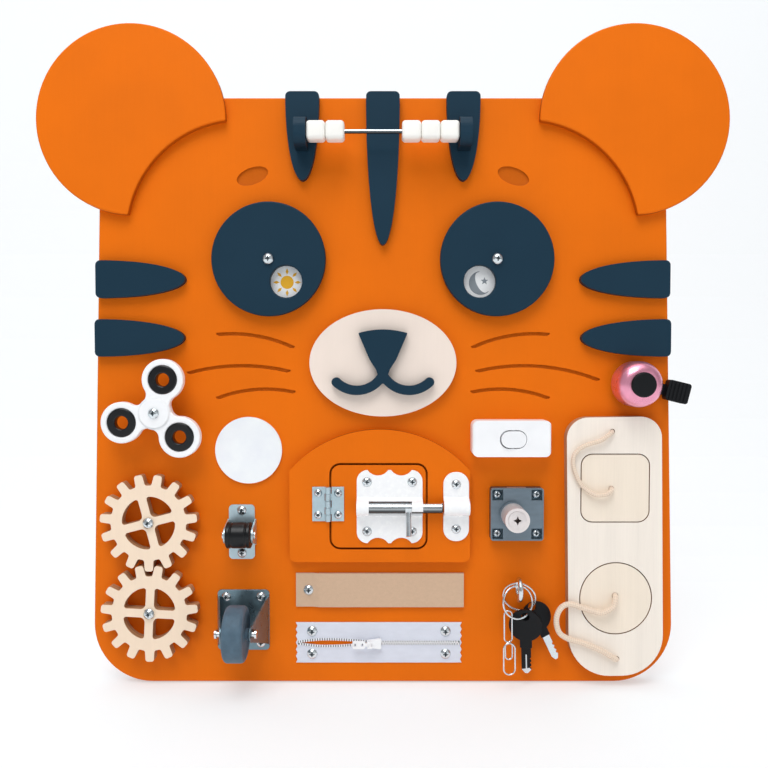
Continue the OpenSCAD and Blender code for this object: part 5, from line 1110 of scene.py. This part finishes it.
class BOARD_OT_shape_panel(bpy.types.Operator):
    """Birch panel with its square and round insets"""
    bl_idname = "busy_board.shape_panel"
    bl_label = "Shape panel"

    def execute(self, context):
        colours, sizes = context.scene.board_colours, context.scene.board_sizes
        panel = birch_ply("oiled_birch", colours.birch, colours.burnt_birch, 0.8)
        warmer = birch_ply("pink_birch", colours.inset_birch, colours.burnt_birch, 0.6)
        for node, look in (("shape_panel", panel), ("square_inset", warmer), ("round_inset", warmer)):
            round_off(node, look, sizes.wood_edge * 1.4)
        return {"FINISHED"}


class BOARD_OT_bell(bpy.types.Operator):
    """Bicycle bell: base, anodised dome, cap and thumb lever"""
    bl_idname = "busy_board.bell"
    bl_label = "Bell"

    def execute(self, context):
        colours = context.scene.board_colours
        black = black_abs(colours)
        round_off("bell_dome", anodised("pink_anodised_aluminium", colours.bell), 0.0003)
        for node, width in (("bell_base", 0.0005), ("bell_cap", 0.0), ("bell_lever", 0.0006)):
            round_off(node, black, width)
        return {"FINISHED"}


class BOARD_OT_screws(bpy.types.Operator):
    """Screws, washers and spacers"""
    bl_idname = "busy_board.screws"
    bl_label = "Screws"

    def execute(self, context):
        colours = context.scene.board_colours
        round_off("fasteners", nickel_plate(colours), 0.0, second=(screw_recess_shade(colours), recesses))
        return {"FINISHED"}


class BOARD_OT_stage(bpy.types.Operator):
    """Pale floor and backdrop, soft lights from above and a camera in front"""
    bl_idname = "busy_board.stage"
    bl_label = "Stage"

    def execute(self, context):
        scene, sizes = context.scene, context.scene.board_sizes
        # The floor turns up behind the board in a quarter circle
        floor_z, rear, cove = -0.366, 0.25, 0.6
        a =np.linspace(0, np.pi / 2, 12)[1:]
        profile_y = np.concatenate([[-2.6, -0.6, rear], rear + cove * np.sin(a), [rear + cove]])
        profile_z = np.concatenate([[0, 0, 0], cove - cove * np.cos(a), [3.2]])
        xs = np.array([-3.0, 3.0])
        points = np.stack([np.repeat(xs[:, None], len(profile_y), 1), np.repeat(profile_y[None], 2, 0),
                           floor_z + np.repeat(profile_z[None], 2, 0)], -1)
        mesh = bpy.data.meshes.new("backdrop")
        mesh.from_pydata(points.reshape(-1, 3).tolist(), [], grid_faces(2, len(profile_y)).tolist())
        floor = bpy.data.objects.new("backdrop", mesh)
        scene.collection.objects.link(floor)
        mesh.materials.append(plain_backdrop("seamless_paper", scene.board_colours.floor, 0.475))
        camera = bpy.data.cameras.new("front_camera")
        camera.sensor_width, camera.lens, camera.clip_start = 36.0, 36.33, 0.01
        holder = bpy.data.objects.new("front_camera", camera)
        holder.location = (0.0008, -(BOARD_T / 1000 + sizes.camera_distance), -0.1254)
        holder.rotation_euler = (math.radians(90 - 1.8), 0, 0)
        scene.collection.objects.link(holder)
        scene.camera = holder
        for name, size, place, aim, power in (
                ("key_light", 1.1, (-0.25, -1.1, 1.35), (0, 0, -0.1), 18.5),
                ("top_light", 1.6, (0.1, -0.35, 1.6), (0, 0, -0.2), 9),
                ("fill_light", 1.6, (1.4, -1.5, 0.1), (0, 0, -0.15), 2.4),
                ("back_light", 1.4, (-1.2, 0.6, 1.1), (0, 0, -0.15), 4)):
            light = bpy.data.lights.new(name, "AREA")
            light.shape, light.size, light.energy = "SQUARE", size, power
            lamp = bpy.data.objects.new(name, light)
            lamp.location = place
            x, y, z = np.subtract(aim, place)
            lamp.rotation_euler = (math.atan2(math.hypot(x, y), -z), 0, math.atan2(x, -y) + math.pi)
            scene.collection.objects.link(lamp)
        world = bpy.data.worlds.new("room")
        world.use_nodes = True
        tree = world.node_tree
        tree.nodes.clear()
        sky = add_node(tree, "ShaderNodeBackground", {"Color": linear("#f6f8fb"), "Strength": 0.37})
        add_node(tree, "ShaderNodeOutputWorld", {"Surface": sky.outputs["Background"]})
        scene.world = world
        scene.view_settings.view_transform = "Standard"
        return {"FINISHED"}


STEPS = (BOARD_OT_stage, BOARD_OT_cords, BOARD_OT_painted_wood, BOARD_OT_abacus, BOARD_OT_pictures, BOARD_OT_spinner,
         BOARD_OT_gears, BOARD_OT_rollers, BOARD_OT_door_hardware, BOARD_OT_cloth, BOARD_OT_switch_and_lock,
         BOARD_OT_keys, BOARD_OT_shape_panel, BOARD_OT_bell, BOARD_OT_screws)


class BOARD_PT_steps(bpy.types.Panel):
    """Every step of the busy board, in order"""
    bl_label = "Busy board"
    bl_idname = "BOARD_PT_steps"
    bl_space_type = "VIEW_3D"
    bl_region_type = "UI"
    bl_category = "Busy board"

    def draw(self, context):
        for step in STEPS:
            self.layout.operator(step.bl_idname)
        for group in (context.scene.board_sizes, context.scene.board_colours):
            for name in group.__annotations__:
                self.layout.prop(group, name)


CLASSES = (BoardColours, BoardSizes, *STEPS, BOARD_PT_steps)


def register():
    for cls in CLASSES:
        bpy.utils.register_class(cls)
    bpy.types.Scene.board_colours = bpy.props.PointerProperty(type=BoardColours)
    bpy.types.Scene.board_sizes = bpy.props.PointerProperty(type=BoardSizes)


def unregister():
    del bpy.types.Scene.board_sizes
    del bpy.types.Scene.board_colours
    for cls in reversed(CLASSES):
        bpy.utils.unregister_class(cls)


def main():
    register()
    for step in STEPS:
        group, name = step.bl_idname.split(".")
        getattr(getattr(bpy.ops, group), name)()


if __name__ == "__main__":
    main()
